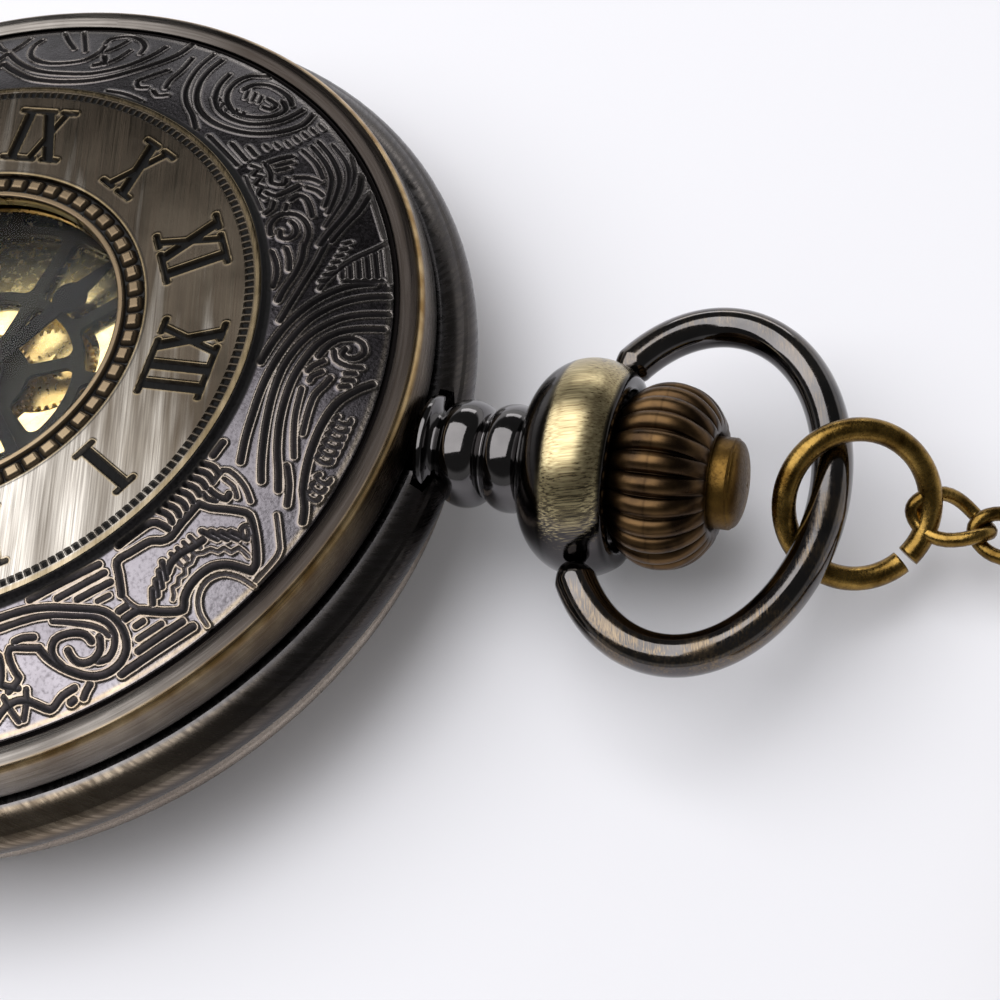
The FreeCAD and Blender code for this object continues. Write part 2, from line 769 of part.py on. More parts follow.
def with_screw_holes(body, group):
    for at in pillars[group]:
        body = body.cut(disc(screw_head_r + run_gap, bridge_z0, bridge_z0 + screw_head_h + run_gap, at))
        body = body.cut(disc(screw_shank_r + run_gap, bridge_z0, plate_mv_z0, at))
    return body


def main_plate():
    plate = disc(plate_mv_r, plate_mv_z0, plate_mv_z1)
    plate = plate.cut(stem_room())
    recess_z = 6.7
    plate = plate.cut(disc(2.9, recess_z, plate_mv_z1))
    plate = plate.cut(disc(2.75, recess_z, plate_mv_z1, minute_at))
    plate = plate.cut(disc(0.6, plate_mv_z0, recess_z))
    plate = plate.cut(disc(0.6 + run_gap, plate_mv_z0, plate_mv_z1, barrel_at))
    plate = plate.cut(disc(arbor_r + run_gap, plate_mv_z0, plate_mv_z1, fourth_at))
    for at in (third_at, escape_at, fork_at, balance_at):
        plate = plate.cut(disc(jewel_r, plate_mv_z0, plate_mv_z0 + 0.4, at))
    for group in pillars.values():
        for at in group:
            plate = plate.cut(disc(screw_shank_r, plate_mv_z0, plate_mv_z0 + 1.1, at))
    for at in plate_windows:
        plate = plate.cut(disc(plate_window_r, plate_mv_z0, plate_mv_z1, at))
    return plate


def barrel_bridge():
    body = disc(bridge_r, bridge_z0, bridge_z1)
    keep = box(-20, 20, 1.5, 20, bridge_z0, bridge_z1)
    keep.rotate(V(0, 0, 0), Z_AXIS, -14)
    body = body.common(keep)
    body = body.cut(disc(contrate_r + 0.12, bridge_z0, bridge_z1, crown_wheel_at))
    body = body.cut(disc(0.85 + run_gap, bridge_z0, bridge_z1, barrel_at))
    body = body.cut(disc(0.35, bridge_z0, bridge_z1, click_at))
    body = body.fuse(bridge_posts("barrel"))
    return with_screw_holes(body, "barrel")


def train_bridge():
    body = disc(bridge_r, bridge_z0, bridge_z1)
    keep = box(-20, 20, -20, 1.2, bridge_z0, bridge_z1)
    keep.rotate(V(0, 0, 0), Z_AXIS, -14)
    body = body.common(keep).common(box(-5.0, 20, -20, 20, bridge_z0, bridge_z1))
    for at in jewelled:
        body = body.cut(disc(jewel_r, bridge_z0 + 0.5, bridge_z1, at))
        body = body.cut(disc(jewel_r + 0.25, bridge_z0, bridge_z0 + 0.5, at))
    body = body.cut(disc(0.3, bridge_z0, bridge_z1))
    body = body.fuse(bridge_posts("train"))
    return with_screw_holes(body, "train")


def balance_cock():
    foot = pillars["cock"][0]
    body = slab(balance_at, 1.6, foot, 1.7, bridge_z0, bridge_z1)
    body = body.cut(disc(jewel_r, bridge_z0 + 0.5, bridge_z1, balance_at))
    body = body.cut(disc(jewel_r + 0.25, bridge_z0, bridge_z0 + 0.5, balance_at))
    body = body.fuse(bridge_posts("cock"))
    return with_screw_holes(body, "cock")


def pallet_bridge():
    foot = pillars["pallet"][0]
    body = slab(fork_at, 0.9, foot, 1.4, bridge_z0, bridge_z1)
    body = body.cut(disc(jewel_r, bridge_z0 + 0.5, bridge_z1, fork_at))
    body = body.cut(disc(jewel_r + 0.2, bridge_z0, bridge_z0 + 0.5, fork_at))
    body = body.fuse(bridge_posts("pallet"))
    return with_screw_holes(body, "pallet")


def bridge_screws():
    screws = []
    for group in pillars.values():
        for at in group:
            head = disc(screw_head_r, bridge_z0, bridge_z0 + screw_head_h, at)
            slot = box(at[0] - 1, at[0] + 1, at[1] - 0.1, at[1] + 0.1, bridge_z0, bridge_z0 + 0.15)
            shank = disc(screw_shank_r, bridge_z0 + screw_head_h, plate_mv_z0 + 1.0, at)
            screws.append(head.cut(slot).fuse(shank))
    return Part.makeCompound(screws)


def jewels():
    """Ruby bearings of the third, fourth and escape wheels, the fork and the balance."""
    stones = []
    for at in jewelled + [fork_at, balance_at]:
        stones.append(tube_z(jewel_r, pivot_r + 0.03, bridge_z0 + 0.5, bridge_z1, at))
    for at in (third_at, escape_at, fork_at, balance_at):
        stones.append(tube_z(jewel_r, pivot_r + 0.03, plate_mv_z0, plate_mv_z0 + 0.4, at))
    return Part.makeCompound(stones)


pivot_low_z = bridge_z0 + 0.55
pivot_high_z = plate_mv_z0 + 0.35


def mainspring_barrel():
    z0, z1 = 4.6, 5.6
    drum_r = 7.2
    drum = disc(drum_r, z0, z1, barrel_at).cut(disc(drum_r - 0.3, z0 + 0.15, z1 - 0.15, barrel_at))
    teeth = gear(barrel_teeth, barrel_module, z1 - 0.5, z1 - 0.1, barrel_at,
                 facing(barrel_at, (0, 0)), False)
    teeth = teeth.cut(disc(drum_r - 0.1, z1 - 0.5, z1 - 0.1, barrel_at))
    return drum.fuse(teeth).cut(disc(1.0 + run_gap, z0, z1, barrel_at))


def mainspring():
    return spiral_strip(1.5, 6.5, 7, 0.18, 4.85, 5.35, barrel_at)


def ratchet_wheel():
    wheel = gear(ratchet_teeth, winding_module, winding_z0, winding_z1, barrel_at,
                 facing(barrel_at, crown_wheel_at), False)
    wheel = wheel.cut(spokes(5.2, 1.9, 1.0, winding_z0, winding_z0 + 0.2, barrel_at, 3))
    post = disc(0.85, winding_z1, bridge_z1 + 0.1, barrel_at)
    core = disc(1.0, bridge_z1 + 0.1, 5.65, barrel_at)
    pivot = disc(0.6, 5.65, plate_mv_z1 - 0.4, barrel_at)
    return wheel.fuse([post, core, pivot])


def crown_wheel():
    wheel = gear(crown_wheel_teeth, winding_module, winding_z0, winding_z1, crown_wheel_at,
                 facing(crown_wheel_at, barrel_at), True)
    drum_top = axis_z - winding_pinion_r - run_gap
    drum = tube_z(contrate_r, contrate_r - 0.6, winding_z1, drum_top, crown_wheel_at)
    notches = []
    for i in range(contrate_teeth):
        cut = box(crown_wheel_at[0], crown_wheel_at[0] + contrate_r + 0.1, crown_wheel_at[1] - 0.15,
                  crown_wheel_at[1] + 0.15, drum_top - 0.35, drum_top)
        notches.append(turned(cut, i * 360.0 / contrate_teeth, crown_wheel_at))
    drum = drum.cut(notches)
    return wheel.fuse(drum)


def click():
    tip_r = ratchet_teeth * winding_module / 2 + 0.8 * winding_module + 0.12
    way = math.radians(facing(barrel_at, click_at) - 8)
    tip = (barrel_at[0] + (tip_r + 0.25) * math.cos(way), barrel_at[1] + (tip_r + 0.25) * math.sin(way))
    lever = slab(click_at, 0.62, tip, 0.22, winding_z0, winding_z1)
    return lever.fuse(disc(0.3, winding_z1, bridge_z0 + 0.6, click_at))


def centre_wheel():
    z0, z1 = 4.2, 4.42
    wheel = gear(centre_teeth, centre_module, z0, z1, (0, 0), facing((0, 0), third_at), False)
    wheel = wheel.cut(spokes(3.7, 1.0, 0.6, z0, z1, (0, 0), 4))
    pinion = gear(centre_leaves, barrel_module, 4.95, 5.6, (0, 0), facing((0, 0), barrel_at), True)
    shaft = disc(0.55, z0, 5.65).fuse(disc(arbor_r, 3.3, 8.55))
    return wheel.fuse([pinion, shaft])


def cannon_pinion():
    leaves = gear(cannon_leaves, cannon_module, 6.78, 7.04, (0, 0), facing((0, 0), minute_at), True)
    pipe = disc(0.48, 6.78, 8.6)
    return leaves.fuse(pipe).cut(disc(arbor_r, 6.78, 8.6))


def minute_wheel():
    wheel = gear(minute_teeth, cannon_module, 6.8, 6.98, minute_at, facing(minute_at, (0, 0)), False)
    pinion = gear(minute_leaves, hour_module, 6.98, 7.34, minute_at, facing(minute_at, (0, 0)), True)
    return wheel.fuse(pinion).cut(disc(0.2, 6.7, 7.4, minute_at))


def minute_post():
    """Fixed post that the minute wheel turns on."""
    return disc(0.2 - run_gap, 6.7, 7.38, minute_at)


def hour_wheel():
    wheel = gear(hour_teeth, hour_module, 7.12, 7.3, (0, 0), facing((0, 0), minute_at), False)
    pipe = disc(0.8, 7.12, 8.3)
    return wheel.fuse(pipe).cut(disc(0.48 + run_gap, 7.0, 8.4))


def hand(length, hub_r, bore_r, width, z0, z1, angle, tail):
    """Spade hand with a round boss."""
    blade = slab((0, -tail), width * 0.4, (0, length * 0.62), width * 0.5, z0, z1)
    spade = disc(width * 1.1, z0, z1, (0, length * 0.66))
    tip = slab((0, length * 0.66), width * 0.7, (0, length), width * 0.12, z0, z1)
    whole = blade.fuse([spade, tip, disc(hub_r, z0, z1)]).removeSplitter()
    return turned(whole.cut(disc(bore_r, z0, z1)), angle)


def hour_hand():
    return hand(hour_hand_len, 1.3, 0.8, 0.8, 8.17, 8.3, 58, 0.0)


def minute_hand():
    return hand(minute_hand_len, 1.0, 0.48, 0.6, 8.45, 8.58, -48, 2.0)


def seconds_hand():
    blade = slab((0, -1.0), 0.16, (0, seconds_hand_len), 0.06, 7.98, 8.06)
    hub = disc(0.42, 7.98, 8.06)
    whole = turned(blade.fuse(hub).cut(disc(0.18, 7.9, 8.1)), 140)
    whole.translate(V(fourth_at[0], fourth_at[1], 0))
    return whole


def third_wheel():
    z0, z1 = 4.55, 4.77
    wheel = gear(third_teeth, third_module, z0, z1, third_at, facing(third_at, fourth_at), False)
    wheel = wheel.cut(spokes(3.3, 0.9, 0.5, z0, z1, third_at, 4))
    pinion = gear(third_leaves, centre_module, 4.15, 4.5, third_at, facing(third_at, (0, 0)), True)
    return wheel.fuse([pinion, arbor(third_at, pivot_low_z, pivot_high_z)])


def fourth_wheel():
    z0, z1 = 4.95, 5.15
    wheel = gear(fourth_teeth, fourth_module, z0, z1, fourth_at, facing(fourth_at, escape_at), False)
    wheel = wheel.cut(spokes(2.6, 0.8, 0.45, z0, z1, fourth_at, 4))
    pinion = gear(fourth_leaves, third_module, 4.5, 4.85, fourth_at, facing(fourth_at, third_at), True)
    low = disc(pivot_r, pivot_low_z, 4.5, fourth_at)
    shaft = disc(arbor_r, pivot_low_z + pivot_len, 7.6, fourth_at).fuse(low)
    top = disc(0.18, 7.6, 8.1, fourth_at)
    return wheel.fuse([pinion, shaft, top])


def escape_wheel():
    z0, z1 = 4.3, 4.48
    points = []
    for i in range(escape_teeth):
        for r, share in ((escape_r * 0.78, 0.0), (escape_r, 0.34), (escape_r, 0.46), (escape_r * 0.78, 0.4)):
            angle = math.radians((i + share) * 360.0 / escape_teeth)
            points.append(V(escape_at[0] + r * math.cos(angle), escape_at[1] + r * math.sin(angle), z0))
    wheel = Part.Face(Part.makePolygon(points + points[:1])).extrude(V(0, 0, z1 - z0))
    wheel = wheel.cut(spokes(1.3, 0.5, 0.3, z0, z1, escape_at, 3))
    pinion = gear(escape_leaves, fourth_module, 4.9, 5.2, escape_at, facing(escape_at, fourth_at), True)
    return wheel.fuse([pinion, arbor(escape_at, pivot_low_z, pivot_high_z)])


def pallet_fork():
    """Lever with two pallet arms towards the escape wheel and a forked end."""
    z0, z1 = 4.3, 4.48
    way = math.radians(facing(escape_at, fork_at))
    stone_r = escape_r + 0.32
    body = disc(0.42, z0, z1, fork_at)
    for side in (-1, 1):
        angle = way + side * math.radians(30)
        stone = (escape_at[0] + stone_r * math.cos(angle), escape_at[1] + stone_r * math.sin(angle))
        body = body.fuse(slab(fork_at, 0.3, stone, 0.16, z0, z1))
    span = math.dist(fork_at, balance_at)
    share = (span - 0.9) / span
    end = (fork_at[0] + (balance_at[0] - fork_at[0]) * share,
           fork_at[1] + (balance_at[1] - fork_at[1]) * share)
    body = body.fuse(slab(fork_at, 0.25, end, 0.22, z0, z1))
    return body.fuse(arbor(fork_at, pivot_low_z, pivot_high_z, 0.2)).removeSplitter()


def balance_wheel():
    z0, z1 = 4.75, 5.15
    rim = tube_z(balance_r, balance_r - 0.55, z0, z1, balance_at)
    arms = box(balance_at[0] - balance_r + 0.3, balance_at[0] + balance_r - 0.3,
               balance_at[1] - 0.3, balance_at[1] + 0.3, z0 + 0.05, z1 - 0.1)
    roller = disc(0.45, 4.25, 4.5, balance_at)
    staff = arbor(balance_at, pivot_low_z, pivot_high_z, 0.22)
    weights = []
    for i in range(12):
        at = (balance_at[0] + balance_r - 0.15, balance_at[1])
        weights.append(turned(disc(0.3, z0 + 0.1, z1 - 0.1, at), i * 30 + 15, balance_at))
    return rim.fuse([arms, roller, staff] + weights)


def hairspring():
    return spiral_strip(0.24, 2.0, 5, 0.06, 5.3, 5.42, balance_at)


def regulator():
    """Index lever under the balance cock."""
    z0, z1 = bridge_z0 - 0.3, bridge_z0 - 0.05
    ring = disc(1.1, z0, z1, balance_at)
    pointer = slab(balance_at, 0.4, (balance_at[0] + 2.6, balance_at[1] - 2.0), 0.12, z0, z1)
    boss = disc(jewel_r + 0.2, z1, bridge_z0 + 0.45, balance_at)
    return ring.fuse([pointer, boss])


def dial():
    """Open-worked dial: a web of rounded cells round the hub."""
    z1 = dial_z + dial_t
    plate = disc(dial_r, dial_z, z1)
    cells = []
    for r_in, r_out, count, turn in ((2.3, 4.6, 6, 20), (5.1, 8.6, 10, 8), (9.1, 12.4, 16, 0)):
        web = 0.62
        for i in range(count):
            cells.append(turned(cell_cutter(r_in, r_out, 360.0 / count, web), turn + i * 360.0 / count))
    plate = plate.cut(cells)
    plate = plate.cut(disc(0.8 + 0.15, dial_z, z1))
    plate = plate.cut(disc(0.45, dial_z, z1, fourth_at))
    return plate.cut(latch_pocket())


def cell_cutter(r_in, r_out, pitch, web):
    """One cell of the web, an arc-sided window with rounded corners."""
    z0, z1 = dial_z, dial_z + dial_t
    cell = tube_z(r_out, r_in, z0, z1)
    half = math.radians(pitch / 2)
    far = 30.0
    corners = [V(0, 0, z0), V(far * math.cos(half), -far * math.sin(half), z0),
               V(far * math.cos(half), far * math.sin(half), z0)]
    wedge = Part.Face(Part.makePolygon(corners + corners[:1])).extrude(V(0, 0, z1 - z0))
    wedge.translate(V(web / 2 / math.sin(half), 0, 0))
    cell = cell.common(wedge)
    upright = [e for e in cell.Edges if abs(e.tangentAt(e.FirstParameter).z) > 0.9]
    return cell.makeFillet(0.45, upright)


# ---------------------------------------------------------------- write every sub-part

def main():
    os.makedirs("parts", exist_ok=True)
    makers = [
        middle_case, back_cover, hinge_pin, crystal, crystal_bezel, cover_lift_spring,
        pendant_neck, pendant_sleeve, pendant_cup,
        cover_shell, window_glass, window_ring,
        crown_knob, winding_stem, sliding_clutch, winding_pinion, push_button, push_collar, lid_latch,
        bow, jump_ring, chain_run, chain_coil, chain_t_bar,
        movement_ring, main_plate, barrel_bridge, train_bridge, balance_cock, pallet_bridge,
        bridge_screws, jewels, mainspring_barrel, mainspring, ratchet_wheel, crown_wheel, click,
        centre_wheel, cannon_pinion, minute_wheel, minute_post, hour_wheel,
        hour_hand, minute_hand, seconds_hand,
        third_wheel, fourth_wheel, escape_wheel, pallet_fork, balance_wheel, hairspring, regulator, dial,
    ]
    for maker in makers:
        save(maker.__name__, maker())


main()
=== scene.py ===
"""Looks of the half-hunter pocket watch: engraved cover, case, crown, bow, jump ring and chain.

Lengths are written in millimetres and turned into metres by MM.  Angles on the cover are in
degrees, counted from three o'clock towards the crown, which stands at 90.
"""
import math

import bpy
import numpy as np
from mathutils import Matrix, Vector


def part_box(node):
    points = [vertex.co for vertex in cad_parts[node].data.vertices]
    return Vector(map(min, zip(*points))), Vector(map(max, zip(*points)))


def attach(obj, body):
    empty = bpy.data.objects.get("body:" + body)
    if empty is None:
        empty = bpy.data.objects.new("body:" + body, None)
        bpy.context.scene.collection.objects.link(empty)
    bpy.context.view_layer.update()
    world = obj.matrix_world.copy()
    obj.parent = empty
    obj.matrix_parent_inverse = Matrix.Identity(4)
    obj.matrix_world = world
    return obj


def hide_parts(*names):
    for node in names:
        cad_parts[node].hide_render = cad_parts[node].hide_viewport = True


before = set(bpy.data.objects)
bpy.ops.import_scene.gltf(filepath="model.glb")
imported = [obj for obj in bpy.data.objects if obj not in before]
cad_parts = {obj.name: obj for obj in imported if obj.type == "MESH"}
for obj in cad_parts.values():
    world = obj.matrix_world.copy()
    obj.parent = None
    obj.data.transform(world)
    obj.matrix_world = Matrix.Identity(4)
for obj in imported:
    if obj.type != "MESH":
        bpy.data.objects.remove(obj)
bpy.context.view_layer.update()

MM = 0.001

# ---------------------------------------------------------------- sizes

AXIS_Z = 6.4            # height of the crown axis

PLATE_Z = 11.73         # top of the numeral ring
WINDOW_R = 8.06
LIP_Z = 11.69
BEAD_FLOOR_Z = 11.45
BEAD_RING_R = 8.85
BEAD_COUNT = 60
BEAD_HALF_ROUND = 0.415  # half size along the ring
BEAD_HALF_RADIAL = 0.36
BEAD_CORNER = 0.2
BEAD_GROOVE_R = 9.35
EDGE_LINE_R = 9.47
NUMERAL_IN_R = 10.25
NUMERAL_OUT_R = 13.35
NUMERAL_DEPTH = 0.22
PIT_R = 14.3
PIT_COUNT = 236
PIT_HALF_ROUND = 0.12
PIT_HALF_RADIAL = 0.16
PIT_DEPTH = 0.11
PLATE_R = 14.84
BAND_IN_R = 14.95
BAND_IN_Z = 11.33
BAND_OUT_R = 20.4
BAND_OUT_Z = 9.66
GROOVE_DEPTH = 0.19     # engraving of the ornament band
STROKE_SHARE = 0.72     # engraved width of a drawn stroke
RIM_IN_R = 20.66
RIM_R = 21.72
RIM_Z = 9.7
SKIRT_R = 22.02
SKIRT_Z = 7.9
UNDER_DROP = 0.62       # how far the cover's underside lies below its top

# ---------------------------------------------------------------- camera

AZIMUTH = math.radians(122.774)
ELEVATION = math.radians(56.158)
ROLL = math.radians(-21.176)
DISTANCE = 96.03
TARGET = Vector((1.373, 25.541, 5.01))
LENS = 77.935


def add_camera():
    back = Vector((math.sin(AZIMUTH) * math.cos(ELEVATION),
                   -math.cos(AZIMUTH) * math.cos(ELEVATION), math.sin(ELEVATION)))
    level = Vector((0, 0, 1)).cross(back).normalized()
    up = back.cross(level)
    right = level * math.cos(ROLL) + up * math.sin(ROLL)
    top = up * math.cos(ROLL) - level * math.sin(ROLL)
    camera = bpy.data.objects.new("camera", bpy.data.cameras.new("camera"))
    camera.data.lens = LENS
    camera.data.sensor_width = 36
    camera.data.clip_start = 0.005
    camera.data.clip_end = 5
    turn = Matrix((right, top, back)).transposed().to_4x4()
    camera.matrix_world = Matrix.Translation((TARGET + back * DISTANCE) * MM) @ turn
    bpy.context.collection.objects.link(camera)
    bpy.context.scene.camera = camera


# ---------------------------------------------------------------- mesh helpers

def mesh_piece(name, points, faces, marks=None, smooth=True):
    """Mesh object from points in millimetres, with an optional colour attribute called finish."""
    mesh = bpy.data.meshes.new(name)
    points = np.asarray(points, float).reshape(-1, 3) * MM
    faces = np.asarray(faces, np.int32)
    mesh.vertices.add(len(points))
    mesh.vertices.foreach_set("co", points.ravel())
    mesh.loops.add(faces.size)
    mesh.loops.foreach_set("vertex_index", faces.ravel())
    mesh.polygons.add(len(faces))
    mesh.polygons.foreach_set("loop_start", np.arange(len(faces), dtype=np.int32) * faces.shape[1])
    mesh.update(calc_edges=True)
    mesh.validate()
    if smooth:
        mesh.shade_smooth()
    if marks is not None:
        layer = mesh.color_attributes.new("finish", "FLOAT_COLOR", "POINT")
        colours = np.ones((len(points), 4), np.float32)
        colours[:, :marks.shape[1]] = marks
        layer.data.foreach_set("color", colours.ravel())
    piece = bpy.data.objects.new(name, mesh)
    bpy.context.collection.objects.link(piece)
    return piece


def grid_faces(rows, columns, close_rows, close_columns):
    """Quads of a grid of rows times columns points, wrapped round where it closes."""
    i = np.arange(rows if close_rows else rows - 1)[:, None]
    j = np.arange(columns if close_columns else columns - 1)[None, :]
    i2 = (i + 1) % rows
    j2 = (j + 1) % columns
    quads = np.stack([i * columns + j, i * columns + j2, i2 * columns + j2, i2 * columns + j], -1)
    return quads.reshape(-1, 4)


def rounded(points, radius, steps=5):
    """Outline whose corners are turned into small arcs."""
    points = [Vector(p) for p in points]
    out = [points[0]]
    for before, here, after in zip(points, points[1:], points[2:]):
        back = before - here
        ahead = after - here
        reach = min(radius, 0.45 * back.length, 0.45 * ahead.length)
        a = here + back.normalized() * reach
        b = here + ahead.normalized() * reach
        for k in range(steps + 1):
            t = k / steps
            out.append(a * (1 - t) ** 2 + here * 2 * t * (1 - t) + b * t ** 2)
    out.append(points[-1])
    return np.array([tuple(p) for p in out])


def arc(centre, radius, start, stop, steps=24):
    """Points of an arc, angles in degrees."""
    angles = np.radians(np.linspace(start, stop, steps + 1))
    return [(centre[0] + radius * math.cos(a), centre[1] + radius * math.sin(a)) for a in angles]


def lathe(name, outline, count=360, axis="z", marks=None, closed=True):
    """Turn an outline of (radius, height) about Z, or about the crown axis."""
    outline = np.asarray(outline, float)
    angles = np.linspace(0, 2 * np.pi, count, endpoint=False)
    r = outline[:, 0][:, None]
    h = outline[:, 1][:, None] + 0 * angles[None, :]
    x = r * np.cos(angles)
    y = r * np.sin(angles)
    if axis == "z":
        points = np.stack([x, y, h], -1)
        faces = grid_faces(len(outline), count, closed, True)
    else:
        points = np.stack([x, h, AXIS_Z + y], -1)
        faces = grid_faces(len(outline), count, closed, True)[:, ::-1]
    colours = None
    if marks is not None:
        colours = np.repeat(np.asarray([marks(*p) for p in outline], float), count, axis=0)
    return mesh_piece(name, points, faces, colours)


def sweep(name, path, radius, closed=False, sides=28, marks=None):
    """Round wire along a path of points."""
    path = np.asarray(path, float)
    n = len(path)
    if closed:
        ways = np.roll(path, -1, 0) - np.roll(path, 1, 0)
    else:
        ways = np.gradient(path, axis=0)
    ways /= np.linalg.norm(ways, axis=1)[:, None]
    normal = np.cross(ways[0], (0, 0, 1.0))
    if np.linalg.norm(normal) < 0.1:
        normal = np.cross(ways[0], (1.0, 0, 0))
    normals = []
    for way in ways:
        normal = normal - way * normal.dot(way)
        normal = normal / np.linalg.norm(normal)
        normals.append(normal)
    normals = np.array(normals)
    if closed:
        normals = untwisted(normals, ways)
    sides_way = np.cross(ways, normals)
    turn = np.linspace(0, 2 * np.pi, sides, endpoint=False)
    radius = np.broadcast_to(np.asarray(radius, float).reshape(-1, 1, 1), (n, 1, 1))
    outward = (normals[:, None] * np.cos(turn)[None, :, None]
               + sides_way[:, None] * np.sin(turn)[None, :, None])
    points = path[:, None] + outward * radius
    faces = grid_faces(n, sides, closed, True)[:, ::-1]
    colours = None
    if marks is not None:
        colours = marks(points, outward).reshape(n * sides, -1)
    return mesh_piece(name, points, faces, colours), points


def untwisted(normals, ways):
    """Spread the twist that a closed path gathers evenly along it."""
    last = normals[-1] - ways[0] * normals[-1].dot(ways[0])
    last /= np.linalg.norm(last)
    side = np.cross(ways[0], normals[0])
    gap = math.atan2(last.dot(side), last.dot(normals[0]))
    share = np.linspace(0, 1, len(normals))[:, None]
    sides = np.cross(ways, normals)
    return normals * np.cos(gap * share) - sides * np.sin(gap * share)


def smoothstep(low, high, value):
    t = np.clip((value - low) / (high - low), 0, 1)
    return t * t * (3 - 2 * t)


def bell(value, centre, width):
    return np.exp(-((value - centre) / width) ** 2)


# ---------------------------------------------------------------- engraving

class Engraving:
    """Distances to engraved strokes on a polar grid, negative inside a stroke."""

    def __init__(self, radii, count):
        self.radii = radii
        self.count = count
        self.angles = np.linspace(0, 2 * np.pi, count, endpoint=False)
        self.x = radii[:, None] * np.cos(self.angles)
        self.y = radii[:, None] * np.sin(self.angles)
        self.gap = np.full(self.x.shape, 9.0)

    def segment(self, a, b, half_a, half_b):
        """One straight stroke between two points, with a half width at each end."""
        margin = max(half_a, half_b) + 0.4
        ra, rb = math.hypot(*a), math.hypot(*b)
        rows = np.nonzero((self.radii > min(ra, rb) - margin) & (self.radii < max(ra, rb) + margin))[0]
        if not len(rows):
            return
        ta, tb = math.atan2(a[1], a[0]), math.atan2(b[1], b[0])
        if tb - ta > math.pi:
            tb -= 2 * math.pi
        if ta - tb > math.pi:
            ta -= 2 * math.pi
        spread = margin / min(ra, rb)
        step = 2 * np.pi / self.count
        first = int((min(ta, tb) - spread) / step) - 1
        last = int((max(ta, tb) + spread) / step) + 2
        columns = np.arange(first, last) % self.count
        window = np.ix_(rows, columns)
        x = self.x[window] - a[0]
        y = self.y[window] - a[1]
        dx, dy = b[0] - a[0], b[1] - a[1]
        length = dx * dx + dy * dy + 1e-12
        t = np.clip((x * dx + y * dy) / length, 0, 1)
        gap = np.hypot(x - t * dx, y - t * dy) - (half_a + (half_b - half_a) * t)
        self.gap[window] = np.minimum(self.gap[window], gap)

    def stroke(self, points, width, end_width=None):
        """A run of straight strokes through points."""
        end_width = width if end_width is None else end_width
        n = len(points) - 1
        for k in range(n):
            w0 = width + (end_width - width) * k / n
            w1 = width + (end_width - width) * (k + 1) / n
            self.segment(points[k], points[k + 1], w0 / 2, w1 / 2)


def polar(points):
    return [(r * math.cos(math.radians(a)), r * math.sin(math.radians(a))) for a, r in points]


def flowing(points, step=0.2):
    """Smooth curve through points, sampled evenly."""
    p = np.array([points[0]] + list(points) + [points[-1]], float)
    out = []
    for k in range(1, len(p) - 2):
        p0, p1, p2, p3 = p[k - 1:k + 3]
        n = max(2, int(np.linalg.norm(p2 - p1) / step))
        for t in np.arange(n) / n:
            out.append(tuple(0.5 * (2 * p1 + (p2 - p0) * t + (2 * p0 - 5 * p1 + 4 * p2 - p3) * t ** 2
                                    + (3 * p1 - p0 - 3 * p2 + p3) * t ** 3)))
    out.append(tuple(p[-2]))
    return out


# Engraved strokes of the ornament: width, then places as (angle, radius) on the band.
SCROLL = [
    (0.30, [(34.9, 17.4), (35.5, 17.9), (36.8, 18.5), (38.6, 19.1), (40.3, 19.45), (42, 19.55),
            (43.8, 19.42), (45.2, 19.05), (45.9, 18.5), (45.9, 17.9), (45.1, 17.3), (43.8, 16.95),
            (42, 16.6), (40, 16.25), (38, 15.95), (35.5, 15.72), (33, 15.62), (29, 15.6)]),
    (0.24, [(41.3, 18.95), (42.5, 19.05), (43.8, 18.8), (44.7, 18.35), (44.8, 17.9), (44.2, 17.5),
            (43, 17.12), (41, 16.78), (39, 16.45), (36.5, 16.18), (33.5, 16.06), (29, 16.04)]),
    (0.17, [(44.0, 18.25), (43.6, 17.9), (42.5, 17.5), (41, 17.15), (39.5, 16.85), (38, 16.6)]),
    (0.26, [(38.4, 18.0), (38.6, 18.45), (39.5, 18.75), (41, 18.8), (42.3, 18.55), (42.9, 18.1)]),
    (0.27, [(41.7, 18.1), (41.4, 17.75), (40.3, 17.48), (38.8, 17.33), (37.3, 17.35), (36.4, 17.7),
            (36.4, 18.1), (36.9, 18.45)]),
    (0.25, [(34.9, 17.4), (33.4, 17.22), (31, 16.97), (30.6, 17.4), (30.9, 18.0), (31.2, 18.25),
            (30.4, 18.45), (29.4, 18.65)]),
    (0.28, [(30.1, 19.1), (31.2, 19.2), (32.6, 19.6), (33.7, 19.9), (34.6, 19.78), (35.6, 19.58),
            (37.3, 19.5)]),
    (0.26, [(37.9, 20.0), (38.5, 19.8), (39.2, 19.64)]),
    (0.30, [(36.7, 19.93), (36.3, 19.97)]),
    (0.26, [(34.7, 16.9), (33.2, 16.75), (31.9, 16.76)]),
    (0.20, [(29.7, 19.9), (29.1, 19.4), (28.6, 18.8)]),
]
WEDGES = [
    (0.30, [(53.2, 19.87), (43.1, 19.87)]),
    (0.27, [(52.6, 19.45), (46.2, 19.42)]),
    (0.20, [(50.4, 19.02), (47.0, 19.0)]),
    (0.22, [(48.7, 18.5), (47.6, 18.5)]),
    (0.28, [(48.0, 17.6), (46.8, 17.6)]),
    (0.16, [(46.8, 16.8), (45.0, 16.75)]),
    (0.27, [(48.0, 16.35), (42.6, 16.25)]),
    (0.27, [(48.0, 15.87), (40.0, 15.8)]),
    (0.27, [(48.0, 15.42), (36.0, 15.34)]),
]
